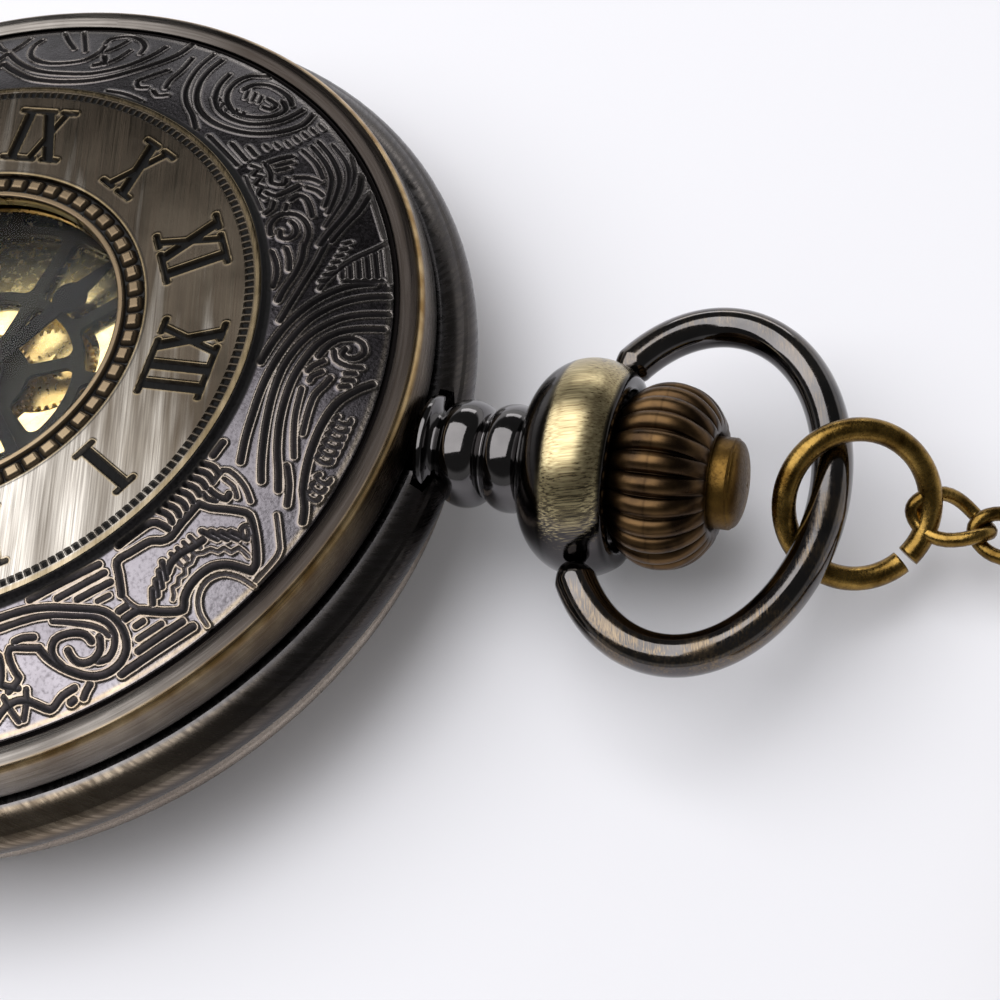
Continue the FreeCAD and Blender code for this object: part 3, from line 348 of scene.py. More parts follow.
CRESCENT = [
    (0.30, [(65.5, 16.22), (61, 16.3), (59, 16.4), (57.5, 16.25), (56.3, 15.95), (53, 15.8), (50.6, 15.76),
            (49.6, 16.3), (48.6, 16.9), (48.3, 17.05)]),
    (0.11, [(48.3, 17.05), (48.7, 17.7), (49.9, 18.3), (51.6, 18.75)]),
    (0.33, [(47.0, 18.0), (48.9, 18.0), (50.3, 18.35), (52, 18.8), (53.6, 19.08), (54.6, 18.76),
            (56, 18.52), (58, 18.42), (60, 18.52), (61.4, 18.85), (62.2, 19.25), (62.9, 19.78)]),
    (0.29, [(62.9, 19.78), (64, 19.72), (65.5, 19.3), (67, 18.8), (68.5, 18.2), (68.2, 17.8),
            (67.2, 17.25), (66.1, 16.75), (65.5, 16.22)]),
    (0.10, [(61.8, 20.3), (61.5, 19.7), (60.5, 19.1), (59, 18.83), (57.5, 18.83), (56, 19.08),
            (54.9, 19.6), (54.6, 20.2)]),
    (0.07, [(53.4, 18.5), (54, 18.35), (54.4, 18.1), (55.2, 18.15), (55.8, 17.95), (56.8, 18.0),
            (57.4, 17.75), (58.4, 17.8), (59.6, 17.65), (60.6, 17.85), (61.6, 17.95), (62, 18.25),
            (62.9, 18.3), (63.1, 18.65), (64.2, 18.75), (64.1, 19.3)]),
    (0.13, [(65.6, 18.75), (66.6, 18.65), (67.1, 18.35), (66.3, 18.3), (65.7, 18.55)]),
    (0.30, [(61.8, 17.45), (60, 17.35), (58.2, 17.2), (56.4, 17.25), (55.2, 17.45)]),
    (0.09, [(70.6, 19.05), (68.4, 19.7), (66.6, 20.12), (62.4, 20.18)]),
]
COILS = [
    (0.29, [(59.6, 16.05), (59.0, 15.5), (57.6, 15.3), (55, 15.25), (52.2, 15.25)]),
    (0.15, [(70.2, 17.85), (71.5, 17.3), (72.3, 16.6), (72, 16.12), (69.4, 16.1)]),
    (0.12, [(69.6, 17.3), (70.7, 16.9), (70.9, 16.4)]),
    (0.24, [(69.4, 16.95), (68.5, 17.0), (68.1, 16.6), (68.2, 16.2)]),
    (0.20, [(67.4, 16.7), (66.9, 16.4), (67.2, 16.1)]),
    (0.27, [(76.0, 15.4), (73.2, 15.37)]),
]
SWEEPS = [
    (0.30, [(108.2, 19.6), (107.7, 18.7), (106.5, 17.85), (104.2, 16.95), (101, 16.2), (97, 15.65),
            (92, 15.3)]),
    (0.27, [(106.2, 20.25), (105.9, 19.4), (105, 18.5), (103.4, 17.65), (101, 16.9), (98, 16.4),
            (94.5, 16.03), (90.5, 15.8), (86.5, 15.76), (82.5, 15.88), (78.5, 16.1), (74.5, 16.5)]),
    (0.27, [(103.4, 20.25), (103, 19.3), (102.1, 18.4), (100.6, 17.7), (98.4, 17.05), (95.5, 16.58),
            (92, 16.3), (88, 16.26), (84, 16.42), (80, 16.75), (76, 17.25), (73.5, 17.7)]),
    (0.27, [(101, 20.1), (100.5, 19.1), (99.4, 18.2), (97.2, 17.5), (94, 17.08), (90.5, 16.85),
            (87, 16.85), (83, 17.05), (79, 17.5), (76, 18.05), (73.6, 18.5)]),
    (0.17, [(89.1, 17.35), (85, 17.52), (82, 17.82), (78.8, 18.3)]),
    (0.22, [(77.2, 18.25), (75, 18.75), (72.5, 19.15)]),
    (0.30, [(75.2, 19.35), (73.4, 19.8), (71.7, 20.08)]),
    (0.30, [(92.6, 20.1), (91, 19.5), (88.5, 18.95), (85, 18.72), (81, 18.78), (78, 19.0), (75.2, 19.35)]),
    (0.20, [(98.9, 18.9), (98.4, 19.3), (97, 19.45), (95.9, 19.2), (95.6, 18.85), (96.2, 18.55),
            (97, 18.65)]),
    (0.22, [(98.9, 18.9), (98.4, 18.35), (97, 17.9), (95, 17.62)]),
    (0.17, [(94.6, 19.5), (94.4, 18.9), (95, 18.35), (96.4, 18.2)]),
    (0.15, [(93.5, 19.3), (93.2, 18.9)]),
    (0.15, [(92.4, 19.3), (92.1, 18.9)]),
    (0.15, [(91.4, 19.2), (91.0, 18.85)]),
    (0.18, [(92.0, 18.35), (90.6, 18.2), (88.6, 17.95), (85.5, 17.98), (82.5, 18.15)]),
    (0.16, [(92.6, 17.95), (91.6, 17.6), (90.7, 17.55)]),
    (0.16, [(94.4, 17.9), (93.2, 17.5), (92.2, 17.35)]),
]
PANELS = [
    (0.15, [(115.0, 20.32), (114, 19.75), (113, 19.1), (112, 18.6), (110.4, 18.05), (108.8, 17.6),
            (107, 17.28)]),
    (0.15, [(108.7, 20.0), (108.6, 19.0), (108.4, 18.3)]),
    (0.20, [(113.6, 19.75), (109.4, 19.75)]),
    (0.20, [(113.0, 19.37), (109.3, 19.37)]),
    (0.19, [(112.3, 18.98), (109.3, 18.97)]),
    (0.18, [(111.6, 18.6), (109.2, 18.6)]),
    (0.16, [(110.6, 18.26), (109.2, 18.24)]),
    (0.24, [(116, 17.75), (112, 17.15), (108, 16.55), (104, 16.05), (100.5, 15.7)]),
    (0.26, [(116, 16.75), (113, 16.55), (110, 16.2), (107, 15.75), (104.5, 15.5)]),
    (0.20, [(115.4, 15.95), (113.5, 16.02), (111, 15.98)]),
    (0.20, [(115, 15.3), (112.5, 15.42), (110, 15.42), (107.4, 15.25)]),
]
RAYS = [
    (0.30, [(127.6, 20.25), (124.5, 19.75), (121, 18.85), (118, 18.0), (115.6, 17.45)]),
    (0.26, [(123.8, 20.2), (121.2, 19.5), (118.6, 18.65), (116, 17.95)]),
    (0.15, [(131.6, 20.3), (128, 19.95), (124.6, 19.2), (121.8, 18.5), (119, 17.85)]),
    (0.20, [(136, 19.36), (132, 19.42), (128, 19.25), (124.8, 18.75), (121.6, 18.15)]),
    (0.20, [(135.4, 18.95), (131.6, 19.02), (128.4, 18.92), (125.4, 18.5), (123, 18.1)]),
    (0.17, [(135.2, 18.45), (131.8, 18.62), (128.6, 18.55)]),
    (0.15, [(134.6, 19.85), (130.4, 19.9), (126.8, 19.55), (124, 19.0)]),
]
ACANTHUS = [
    (0.24, [(134.6, 17.85), (134.9, 17.3), (134.9, 16.75)]),
    (0.15, [(133.4, 17.7), (133.6, 16.9)]),
    (0.15, [(132.4, 17.4), (132.6, 16.8)]),
    (0.22, [(128.0, 18.35), (129.2, 18.0), (130, 17.4)]),
    (0.20, [(125.2, 18.2), (126.4, 18.05), (127.4, 17.7)]),
    (0.20, [(135, 16.55), (132.6, 16.5), (130.4, 16.3), (129.3, 16.75), (130.3, 17.0)]),
    (0.22, [(128.2, 17.4), (127.6, 16.9), (127.2, 16.2), (128.4, 15.9)]),
    (0.24, [(125.6, 16.75), (126.2, 17.15), (125.3, 17.42), (123.2, 17.45), (121.4, 17.4)]),
    (0.22, [(115.6, 16.75), (118, 17.05), (120.4, 17.05), (122.3, 16.75), (122.9, 16.2), (122.3, 15.75),
            (120.8, 15.45), (119, 15.4)]),
    (0.20, [(120.9, 16.45), (120, 16.55), (118.4, 16.5), (117.4, 16.15), (118, 15.8), (119.4, 15.85)]),
    (0.17, [(135.6, 15.95), (134.4, 16.15), (133.4, 15.75), (132.4, 16.05), (131.2, 15.6), (130, 15.85),
            (128.8, 15.5), (127.4, 15.7)]),
    (0.17, [(126, 16.0), (124.6, 15.8), (123.8, 15.45)]),
    (0.17, [(124.8, 16.5), (123.8, 16.35)]),
    (0.10, [(133.5, 15.4), (131, 15.3), (128, 15.3), (125, 15.3)]),
]
SPIRAL = [
    (0.27, [(141.6, 20.1), (140.3, 19.3), (140.3, 18.4), (141.3, 17.6), (143.4, 16.85), (146.5, 16.35),
            (150, 16.15), (153.6, 16.35), (156.6, 16.95), (158.9, 17.9), (160, 18.9), (160.4, 19.9)]),
    (0.25, [(143.2, 19.9), (142.8, 19.2), (142.8, 18.5), (143.8, 17.75), (145.6, 17.2), (148.5, 16.9),
            (151.6, 17.0), (154.2, 17.5), (156, 18.3), (156.9, 19.2)]),
    (0.24, [(146.5, 19.55), (144.7, 19.3), (144.2, 18.7), (145, 18.1), (146.9, 17.55), (149.3, 17.35),
            (151.8, 17.6), (153.8, 18.2), (154.7, 19.0), (154.3, 19.8), (152.6, 20.35)]),
    (0.22, [(147, 18.6), (145.9, 18.75), (146.4, 19.15), (148.2, 19.15)]),
    (0.24, [(152.4, 18.8), (152.3, 19.35), (151, 19.85), (148.8, 20.0), (146.6, 19.95), (145, 19.7)]),
    (0.13, [(151.8, 18.9), (150.6, 18.4)]),
    (0.13, [(150.5, 19.0), (149.4, 18.5)]),
    (0.13, [(149.3, 19.05), (148.4, 18.65)]),
    (0.22, [(162.4, 20.1), (162, 19.0), (161, 18.0), (159.2, 17.0), (156.6, 16.3), (153.4, 15.85),
            (150, 15.3)]),
    (0.20, [(140.0, 16.42), (137.6, 16.42)]),
    (0.20, [(142.4, 15.92), (137.4, 15.9)]),
    (0.20, [(146.6, 15.42), (137, 15.4)]),
]
VOLUTE = [
    (0.32, [(166.9, 20.3), (166.8, 19.5), (167.3, 18.8), (168.6, 18.05), (170.6, 17.25), (173.4, 16.45),
            (177, 15.9), (181, 15.68), (185, 15.72), (189, 16.05), (192.6, 16.8), (195, 17.6)]),
    (0.26, [(169.9, 19.6), (170.4, 18.7), (172, 17.7), (174.6, 16.95), (178, 16.45), (182, 16.35),
            (186, 16.45), (189.6, 16.85), (192.6, 17.6), (195, 18.6)]),
    (0.24, [(179.2, 18.9), (179.3, 18.2), (180.6, 17.6), (183, 17.3), (186.4, 17.25), (189.4, 17.6),
            (191, 18.2), (191.3, 19.0), (190.4, 19.6)]),
    (0.20, [(178.6, 18.4), (177.2, 18.9), (176.4, 19.6)]),
    (0.22, [(172.6, 18.7), (173, 19.3), (174.6, 19.8), (177, 20.05), (179.2, 19.7), (179.6, 19.2)]),
    (0.18, [(176.6, 17.4), (175.2, 18.0), (174.6, 18.8)]),
    (0.30, [(178.2, 17.2), (176.9, 17.5), (177.8, 18.0)]),
    (0.20, [(184.5, 20.2), (183.2, 19.3), (181.8, 18.4)]),
    (0.20, [(187.5, 20.2), (186.0, 19.4), (184.0, 18.6)]),
    (0.22, [(164.4, 19.3), (163.6, 18.2), (163.3, 17.2), (162.7, 16.7)]),
    (0.20, [(165.5, 17.9), (166.9, 17.2), (168.2, 16.5), (167, 16.15), (165.6, 16.3)]),
    (0.20, [(171.6, 15.35), (168, 15.42), (164, 15.3)]),
    (0.18, [(161, 16.3), (162.4, 16.0), (164, 16.2)]),
    (0.20, [(192.6, 19.9), (193.6, 19.2), (194.4, 18.9)]),
]
MOTIFS = SCROLL + WEDGES + CRESCENT + COILS + SWEEPS + PANELS + RAYS + ACANTHUS + SPIRAL + VOLUTE


def short_strokes():
    """Rows of small marks: gear teeth, coil turns, dots and curls, as width and two places."""
    marks = []
    for k in range(8):
        a = 61 + 1.5 * k
        marks.append((0.24, [(a - 0.4, 15.2), (a, 15.45), (a + 0.1, 15.75), (a - 0.3, 15.98)]))
    for k in range(4):
        a = 54.8 - 1.15 * k
        marks.append((0.24, [(a + 0.8, 16.98 + 0.22 * k), (a - 0.3, 17.62 + 0.17 * k)]))
    for k in range(4):
        a = 62.7 + 0.85 * k
        marks.append((0.22, [(a - 0.1, 17.15 + 0.3 * k), (a + 0.5, 17.85 + 0.3 * k)]))
    for k in range(4):
        a = 60.9 - 1.2 * k
        marks.append((0.12, [(a, 16.95), (a - 0.1, 17.6)]))
    for k in range(6):
        a = 86.8 - 1.2 * k
        marks.append((0.13, [(a, 19.75), (a - 0.6, 19.75), (a - 1.0, 19.45), (a - 0.7, 19.1),
                             (a - 0.1, 19.2)]))
    for k in range(3):
        a = 78.2 - 1.3 * k
        marks.append((0.13, [(a, 20.1), (a - 0.7, 20.05), (a - 0.9, 19.75), (a - 0.5, 19.5), (a, 19.6)]))
    for k in range(7):
        a = 138.7 - 0.3 * min(k, 4) + 0.45 * max(k - 4, 0)
        marks.append((0.14, [(a + 0.55, 20.0 - 0.48 * k), (a - 0.45, 20.0 - 0.48 * k)]))
    for k in range(7):
        a = 115.2 - 1.15 * k
        marks.append((0.13, [(a + 0.3, 18.8 - 0.2 * k), (a + 0.1, 18.5 - 0.2 * k)]))
    for k in range(6):
        a = 154.2 - 1.35 * k
        sag = 0.13 * abs(k - 2.5)
        marks.append((0.12, [(a, 17.05 + sag), (a + 0.2, 17.35 + sag)]))
    return marks


def both_sides(points):
    """The motif where it stands, and its mirror image stretched over the rest of the band."""
    stretch = 195.0 / 165.0
    return points, [(195 + (195 - a) * stretch, r) for a, r in points]


def ornament_band():
    radii = np.concatenate([[PLATE_R, PLATE_R + 0.05], np.arange(BAND_IN_R, BAND_OUT_R, 0.047),
                            [BAND_OUT_R]])
    field = Engraving(radii, 2400)
    for width, points in MOTIFS + short_strokes():
        for side in both_sides(points):
            field.stroke(flowing(polar(side)), width * STROKE_SHARE)
    for side in both_sides([(124.2, 20.3), (116, 20.3)]) + both_sides([(114.6, 20.3), (108.6, 20.3)]):
        field.stroke(flowing(polar(side)), 0.1)
    gap = field.gap
    share = (radii - BAND_IN_R) / (BAND_OUT_R - BAND_IN_R)
    base = BAND_IN_Z + (BAND_OUT_Z - BAND_IN_Z) * share + 0.1 * np.sin(np.pi * np.clip(share, 0, 1))
    base[0] = PLATE_Z - 0.02
    base[1] = PLATE_Z - 0.12
    edge = smoothstep(0.0, 0.12, radii - BAND_IN_R)[:, None]
    carved = smoothstep(0.03, -0.07, gap)
    lip = bell(gap, 0.09, 0.055)
    z = base[:, None] + edge * (0.065 * lip - GROOVE_DEPTH * carved)
    step_dark = smoothstep(BAND_IN_R + 0.3, BAND_IN_R + 0.2, radii)[:, None] + 0 * gap
    patina = np.clip(carved + step_dark, 0, 1)
    wear = np.clip(lip * 0.9 + bell(radii, BAND_OUT_R - 0.16, 0.1)[:, None], 0, 1)
    wear[0] = 0.8
    return relief_ring("cover_ornament_band", field, z, base - UNDER_DROP, patina, wear)


def relief_ring(name, field, z, under, patina, wear):
    """Closed ring whose top is a relief and whose underside is plain."""
    x, y = field.x, field.y
    top = np.stack([x, y, z], -1)
    under_rows = [len(x) - 1, len(x) // 2, 0]
    below = np.stack([x[under_rows], y[under_rows],
                      np.repeat(np.asarray(under)[under_rows][:, None], field.count, 1)], -1)
    points = np.concatenate([top, below])
    flat = np.zeros((len(under_rows), field.count))
    marks = np.stack([np.concatenate([patina, flat]), np.concatenate([wear, flat])], -1)
    faces = grid_faces(len(points), field.count, True, True)
    return mesh_piece(name, points, faces, marks.reshape(-1, 2))


# ---------------------------------------------------------------- numeral ring and beads

THICK = 0.44
THIN = 0.25
SERIF_W = 0.2


def glyph(letter):
    """Strokes of a Roman letter: (x, share of height) to (x, share of height), width."""
    if letter == "I":
        return 1.02, [((0, 0), (0, 1), THICK)], [(0, 0, 0.47), (0, 1, 0.47)]
    if letter == "V":
        return 1.75, [((0, 0), (-0.55, 1), THICK), ((0, 0), (0.55, 1), THIN)], [
            (-0.6, 1, 0.42), (0.6, 1, 0.36)]
    return 1.9, [((0.55, 0), (-0.55, 1), THICK), ((-0.55, 0), (0.55, 1), THIN)], [
        (-0.6, 1, 0.42), (0.6, 1, 0.36), (-0.6, 0, 0.36), (0.6, 0, 0.42)]


def engrave_numeral(field, text, hour):
    angle = math.radians(90 - 30 * hour)
    out = Vector((math.cos(angle), math.sin(angle)))
    right = Vector((math.sin(angle), -math.cos(angle)))
    height = NUMERAL_OUT_R - NUMERAL_IN_R

    def place(x, share):
        return tuple(out * (NUMERAL_IN_R + height * share) + right * x)

    total = sum(glyph(letter)[0] for letter in text)
    x = -total / 2
    for letter in text:
        advance, strokes, serifs = glyph(letter)
        middle = x + advance / 2
        for a, b, width in strokes:
            inset = (width / 2 + 0.02) / height
            steps = [inset, 1 - inset] if a[1] < b[1] else [1 - inset, inset]
            xs = [a[0] + (b[0] - a[0]) * inset, b[0] - (b[0] - a[0]) * inset]
            field.stroke([place(middle + xs[0], steps[0]), place(middle + xs[1], steps[1])], width)
        for sx, share, half in serifs:
            inset = SERIF_W / 2 / height
            s = inset if share == 0 else 1 - inset
            field.stroke([place(middle + sx - half, s), place(middle + sx + half, s)], SERIF_W)
        x += advance


def numeral_ring():
    radii = np.concatenate([np.arange(BEAD_GROOVE_R, 9.6, 0.04), np.arange(9.65, 13.85, 0.06),
                            np.arange(13.86, 14.66, 0.035), [14.72, 14.79, PLATE_R]])
    field = Engraving(radii, 2400)
    texts = ["XII", "I", "II", "III", "IIII", "V", "VI", "VII", "VIII", "IX", "X", "XI"]
    for hour, text in enumerate(texts):
        engrave_numeral(field, text, hour)
    turn = (field.angles * PIT_COUNT / (2 * np.pi)) % 1 - 0.5
    across = np.abs(turn)[None, :] * 2 * np.pi * PIT_R / PIT_COUNT
    along = np.abs(radii - PIT_R)[:, None]
    pits = np.maximum(across - PIT_HALF_ROUND, along - PIT_HALF_RADIAL)
    cut = smoothstep(0.035, -0.035, np.minimum(field.gap, 9.0))
    pit = smoothstep(0.03, -0.03, pits)
    lip = bell(field.gap, 0.07, 0.045)
    z = PLATE_Z - NUMERAL_DEPTH * cut + 0.015 * lip - PIT_DEPTH * pit
    edge = bell(radii, BEAD_GROOVE_R, 0.035) + bell(radii, PLATE_R, 0.04)
    z = z - 0.03 * edge[:, None]
    worn = bell(radii, 0.5 * (BEAD_GROOVE_R + EDGE_LINE_R), 0.06) + 0.7 * smoothstep(14.5, 14.62, radii)
    ring_line = 0.55 * bell(radii, EDGE_LINE_R + 0.06, 0.035)
    patina = np.clip(np.maximum(cut, pit) + ring_line[:, None], 0, 1)
    wear = np.clip(0.75 * lip + worn[:, None], 0, 1)
    under = np.full(len(radii), PLATE_Z - UNDER_DROP - 0.1)
    return relief_ring("cover_numeral_ring", field, z, under, patina, wear)


def bead_ring():
    radii = np.concatenate([[WINDOW_R, WINDOW_R + 0.04, WINDOW_R + 0.09, 8.2, 8.28, 8.32, 8.36],
                            np.arange(8.39, 9.32, 0.035), [BEAD_GROOVE_R]])
    field = Engraving(radii, 1800)
    turn = (field.angles * BEAD_COUNT / (2 * np.pi) + 0.49) % 1 - 0.5
    across = np.abs(turn)[None, :] * 2 * np.pi * radii[:, None] / BEAD_COUNT
    along = np.abs(radii - BEAD_RING_R)[:, None] + 0 * across
    outside = np.hypot(np.maximum(across - BEAD_HALF_ROUND + BEAD_CORNER, 0),
                       np.maximum(along - BEAD_HALF_RADIAL + BEAD_CORNER, 0)) - BEAD_CORNER
    bead = np.sqrt(smoothstep(0.03, -0.2, outside))
    floor = smoothstep(8.33, 8.39, radii)[:, None]
    z = LIP_Z - (LIP_Z - BEAD_FLOOR_Z) * floor + floor * 0.25 * bead
    z[0] -= 0.05
    patina = np.clip(floor * (1 - bead), 0, 1)
    patina[-1] = 0.6
    wear = np.clip(bead + (1 - floor), 0, 1)
    under = np.full(len(radii), PLATE_Z - UNDER_DROP - 0.1)
    return relief_ring("cover_bead_ring", field, z, under, patina, wear)


KNUCKLE_HALF = 2.45
KNUCKLE_R = 0.75
STRAP_REACH = 0.7       # how far the strap runs in under the skirt
STRAP_TOP = 0.5


def cover_rim():
    outline = rounded([(BAND_OUT_R, BAND_OUT_Z - UNDER_DROP), (BAND_OUT_R, BAND_OUT_Z - 0.16),
                       (BAND_OUT_R + 0.03, BAND_OUT_Z - 0.17), (RIM_IN_R, BAND_OUT_Z - 0.17),
                       (RIM_IN_R, BAND_OUT_Z + 0.02), (RIM_IN_R + 0.5, RIM_Z + 0.09),
                       (RIM_R - 0.12, RIM_Z + 0.06), (RIM_R + 0.1, RIM_Z - 0.2),
                       (SKIRT_R, SKIRT_Z + 0.1), (SKIRT_R - 0.06, SKIRT_Z),
                       (SKIRT_R - 0.55, SKIRT_Z), (RIM_R - 0.6, BAND_OUT_Z - UNDER_DROP - 0.1)], 0.13)

    def marks(r, h):
        groove = float(BAND_OUT_R - 0.01 < r < RIM_IN_R + 0.03 and h < BAND_OUT_Z - 0.02)
        ridge = bell(r, RIM_R - 0.02, 0.1) * float(h > RIM_Z - 0.35)
        # foot: where painted shade darkens the skirt's lower edge in the gap between cover and case.
        foot = float(h < SKIRT_Z + 0.12 and r > SKIRT_R - 0.2) * 0.6
        return groove, max(ridge, 0), foot
    return lathe("cover_rim", outline, 1440, "z", marks)


def cover_knuckle():
    """Hinge tube of the cover and the strap that joins it to the rim's foot."""
    low, high = (Vector(c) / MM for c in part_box("hinge_pin"))
    centre = (low + high) / 2
    length = np.linspace(-KNUCKLE_HALF, KNUCKLE_HALF, 13)
    radius = np.full(len(length), KNUCKLE_R)
    radius[0] = radius[-1] = KNUCKLE_R - 0.05
    tube = sweep("cover_hinge_knuckle", [(x, centre.y, centre.z) for x in length], radius, sides=48)[0]
    inner_y = -SKIRT_R + STRAP_REACH
    outline = rounded([(centre.y, SKIRT_Z + 0.02), (inner_y, SKIRT_Z + 0.02), (inner_y, SKIRT_Z + STRAP_TOP),
                       (centre.y, SKIRT_Z + STRAP_TOP)], 0.1)
    ends = [[(x, y, z) for y, z in outline] for x in (-KNUCKLE_HALF, KNUCKLE_HALF)]
    strap = mesh_piece("cover_hinge_strap", ends, grid_faces(2, len(outline), False, True), smooth=False)
    return tube, strap


# ---------------------------------------------------------------- crown, button and pendant

CROWN_Y = 33.1
CROWN_R = 4.08
CROWN_ARC_R = 2.4
CROWN_BACK_Y = 30.9
CROWN_FRONT_Y = 35.32
WELL_FLOOR_Y = 34.25
FLUTES = 24


def crown_knob():
    """Onion crown with rounded ribs that run from its back to the button's well."""
    y = np.linspace(CROWN_BACK_Y, CROWN_FRONT_Y - 0.05, 90)
    profile = CROWN_R - CROWN_ARC_R + np.sqrt(CROWN_ARC_R ** 2 - (y - CROWN_Y) ** 2)
    count = FLUTES * 24
    turn = np.linspace(0, 2 * np.pi, count, endpoint=False)
    rib = (turn * FLUTES / (2 * np.pi)) % 1 - 0.5
    dip = 1 - np.sqrt(np.clip(1 - (1.93 * rib) ** 2, 0, 1))
    fade = smoothstep(CROWN_BACK_Y - 0.2, CROWN_BACK_Y + 0.7, y) * (1 - 0.35 * smoothstep(34.6, 35.3, y))
    depth = 0.52 * fade * profile / CROWN_R
    radius = profile[:, None] - depth[:, None] * dip[None, :]
    rows = [radius]
    heights = [np.repeat(y[:, None], count, 1)]
    front = [(profile[-1] - 0.25, CROWN_FRONT_Y), (2.2, CROWN_FRONT_Y - 0.02), (2.12, CROWN_FRONT_Y - 0.12),
             (2.1, WELL_FLOOR_Y + 0.03), (0.8, WELL_FLOOR_Y), (0.8, CROWN_BACK_Y)]
    for r, h in front:
        rows.append(np.full((1, count), r))
        heights.append(np.full((1, count), h))
    radius = np.concatenate(rows)
    height = np.concatenate(heights)
    points = np.stack([radius * np.cos(turn), height, AXIS_Z + radius * np.sin(turn)], -1)
    faces = grid_faces(len(points), count, True, True)[:, ::-1]
    crest_highlight = np.zeros(radius.shape)
    # Rib tops, where a painted highlight goes.
    crest_highlight[:len(y)] = (1 - dip[None, :]) ** 1.5
    groove = np.zeros(radius.shape)
    groove[:len(y)] = smoothstep(0.35, 0.95, dip)[None, :]
    seam = np.zeros(radius.shape)
    seam[:len(y)] = bell(y, CROWN_Y, 0.05)[:, None]
    marks = np.stack([groove, crest_highlight, seam], -1).reshape(-1, 3)
    return mesh_piece("crown_knob_ribbed", points, faces, marks)


def button_cap():
    edge_r, edge_y = 1.9, 36.08
    outline = rounded([(0.4, 34.97), (1.99, 34.97), (1.99, 36.02), (edge_r, edge_y)], 0.05).tolist()
    outline += [(edge_r * math.cos(a), edge_y + 0.5 * math.sin(a))
                for a in np.linspace(0.05, math.pi / 2 - 0.03, 20)]
    return lathe("push_button_cap", outline, 192, "crown")


def pendant_beads():
    """Neck with a small collar at its root and two round beads."""
    outline = [(1.5, 21.9), (2.0, 21.9), (2.05, 22.18), (2.36, 22.22), (2.45, 22.3), (2.45, 22.56),
               (2.37, 22.64), (1.86, 22.72)]
    for y in (24.05, 26.15):
        outline += [(1.72 + 0.7 * math.cos(a), y + 1.02 * math.sin(a))
                    for a in np.linspace(-1.35, 1.35, 40)]
    outline += [(1.78, 27.24), (1.5, 27.24)]
    return lathe("pendant_neck_polished", outline, 192, "crown")


def pendant_cup_shell():
    outer = arc((2.2, 29.6), 2.6, -66, 40, 60)
    mouth = [(4.02, 31.33), (3.72, 31.36), (3.57, 31.28), (3.55, 31.0), (3.5, 30.1), (0.86, 30.08),
             (0.86, 27.22)]
    outline = outer + mouth

    def marks(r, h):
        # band: where the brass band is laid; its pale tone is partly a painted highlight.
        band = smoothstep(28.45, 28.85, h) * (1 - smoothstep(31.05, 31.25, h)) * float(r > 3.9)
        line = bell(h, 28.6, 0.1) + bell(h, 31.2, 0.09)
        return band, line * float(r > 3.8), 0
    return lathe("pendant_cup_polished", outline, 256, "crown", marks)


# ---------------------------------------------------------------- bow and jump ring

BOW_PIVOT = (29.6, 6.4)
BOW_HALF_X = 8.3
BOW_HALF_Y = 5.57
BOW_REACH = 4.85
BOW_DROOP = math.radians(4.5)
BOW_WIRE_R = 0.9
CUP_SEAT_R = 4.86


def bow_wire():
    """Oval bow, worn to bronze on its upper outer side, with ends that close on the cup."""
    turn = np.radians(np.linspace(-60, 240, 420))
    x = BOW_HALF_X * np.cos(turn)
    y = BOW_REACH + BOW_HALF_Y * np.sin(turn)
    path = np.stack([x, BOW_PIVOT[0] + y * math.cos(BOW_DROOP), BOW_PIVOT[1] - y * math.sin(BOW_DROOP)], -1)
    pivot = np.array([0, BOW_PIVOT[0], BOW_PIVOT[1]])
    away = np.linalg.norm(path - pivot, axis=1)
    path = path[away > CUP_SEAT_R + 0.05]
    away = away[away > CUP_SEAT_R + 0.05]
    radius = np.minimum(BOW_WIRE_R, 0.30 + 0.9 * np.sqrt(np.maximum(away - CUP_SEAT_R, 0) / 1.6))

    def marks(points, outward):
        up = outward[..., 2]
        middle = np.array([0, BOW_PIVOT[0] + BOW_REACH, AXIS_Z])
        out = points - middle
        out = out / np.linalg.norm(out, axis=-1, keepdims=True)
        side = (outward * out).sum(-1)
        top = smoothstep(0.15, 0.75, 0.75 * up + 0.55 * side)
        place = np.degrees(np.arctan2(points[..., 1] - BOW_PIVOT[0] - BOW_REACH, points[..., 0]))
        near = 0.3 + 0.7 * smoothstep(-50, 10, place) * smoothstep(110, 40, place)
        return np.stack([0 * top, top * near, 0 * top], -1)
    wire, points = sweep("bow_wire", path, radius, sides=56, marks=marks)
    away = np.linalg.norm(points - pivot, axis=-1, keepdims=True)
    points = pivot + (points - pivot) * np.maximum(1, CUP_SEAT_R / away)
    wire.data.vertices.foreach_set("co", (points * MM).ravel())
    wire.data.update()
    return wire


RING_CENTRE = np.array([-0.63, 41.1, 4.85])
RING_R = 3.22
RING_WIRE_R = 0.52
RING_TILT = math.radians(44)
RING_TURN = math.radians(37.4)
RING_SPLIT = 287
RING_GAP = 7


def jump_ring():
    turn = np.radians(np.linspace(RING_SPLIT + RING_GAP / 2, RING_SPLIT + 360 - RING_GAP / 2, 200))
    flat = np.stack([-np.sin(turn), np.cos(turn), 0 * turn], -1) * RING_R
    turning = Matrix.Rotation(RING_TURN, 3, "Z") @ Matrix.Rotation(RING_TILT, 3, "Y")
    path = flat @ np.array(turning).T + RING_CENTRE
    radius = np.full(len(path), RING_WIRE_R)
    path = np.concatenate([path[:1], path, path[-1:]])
    radius = np.concatenate([[0.02], radius, [0.02]])
    path[0] += (path[1] - path[2]) * 0.001
    path[-1] += (path[-2] - path[-3]) * 0.001
    return sweep("jump_ring_wire", path, radius, sides=40)[0]


# ---------------------------------------------------------------- chain

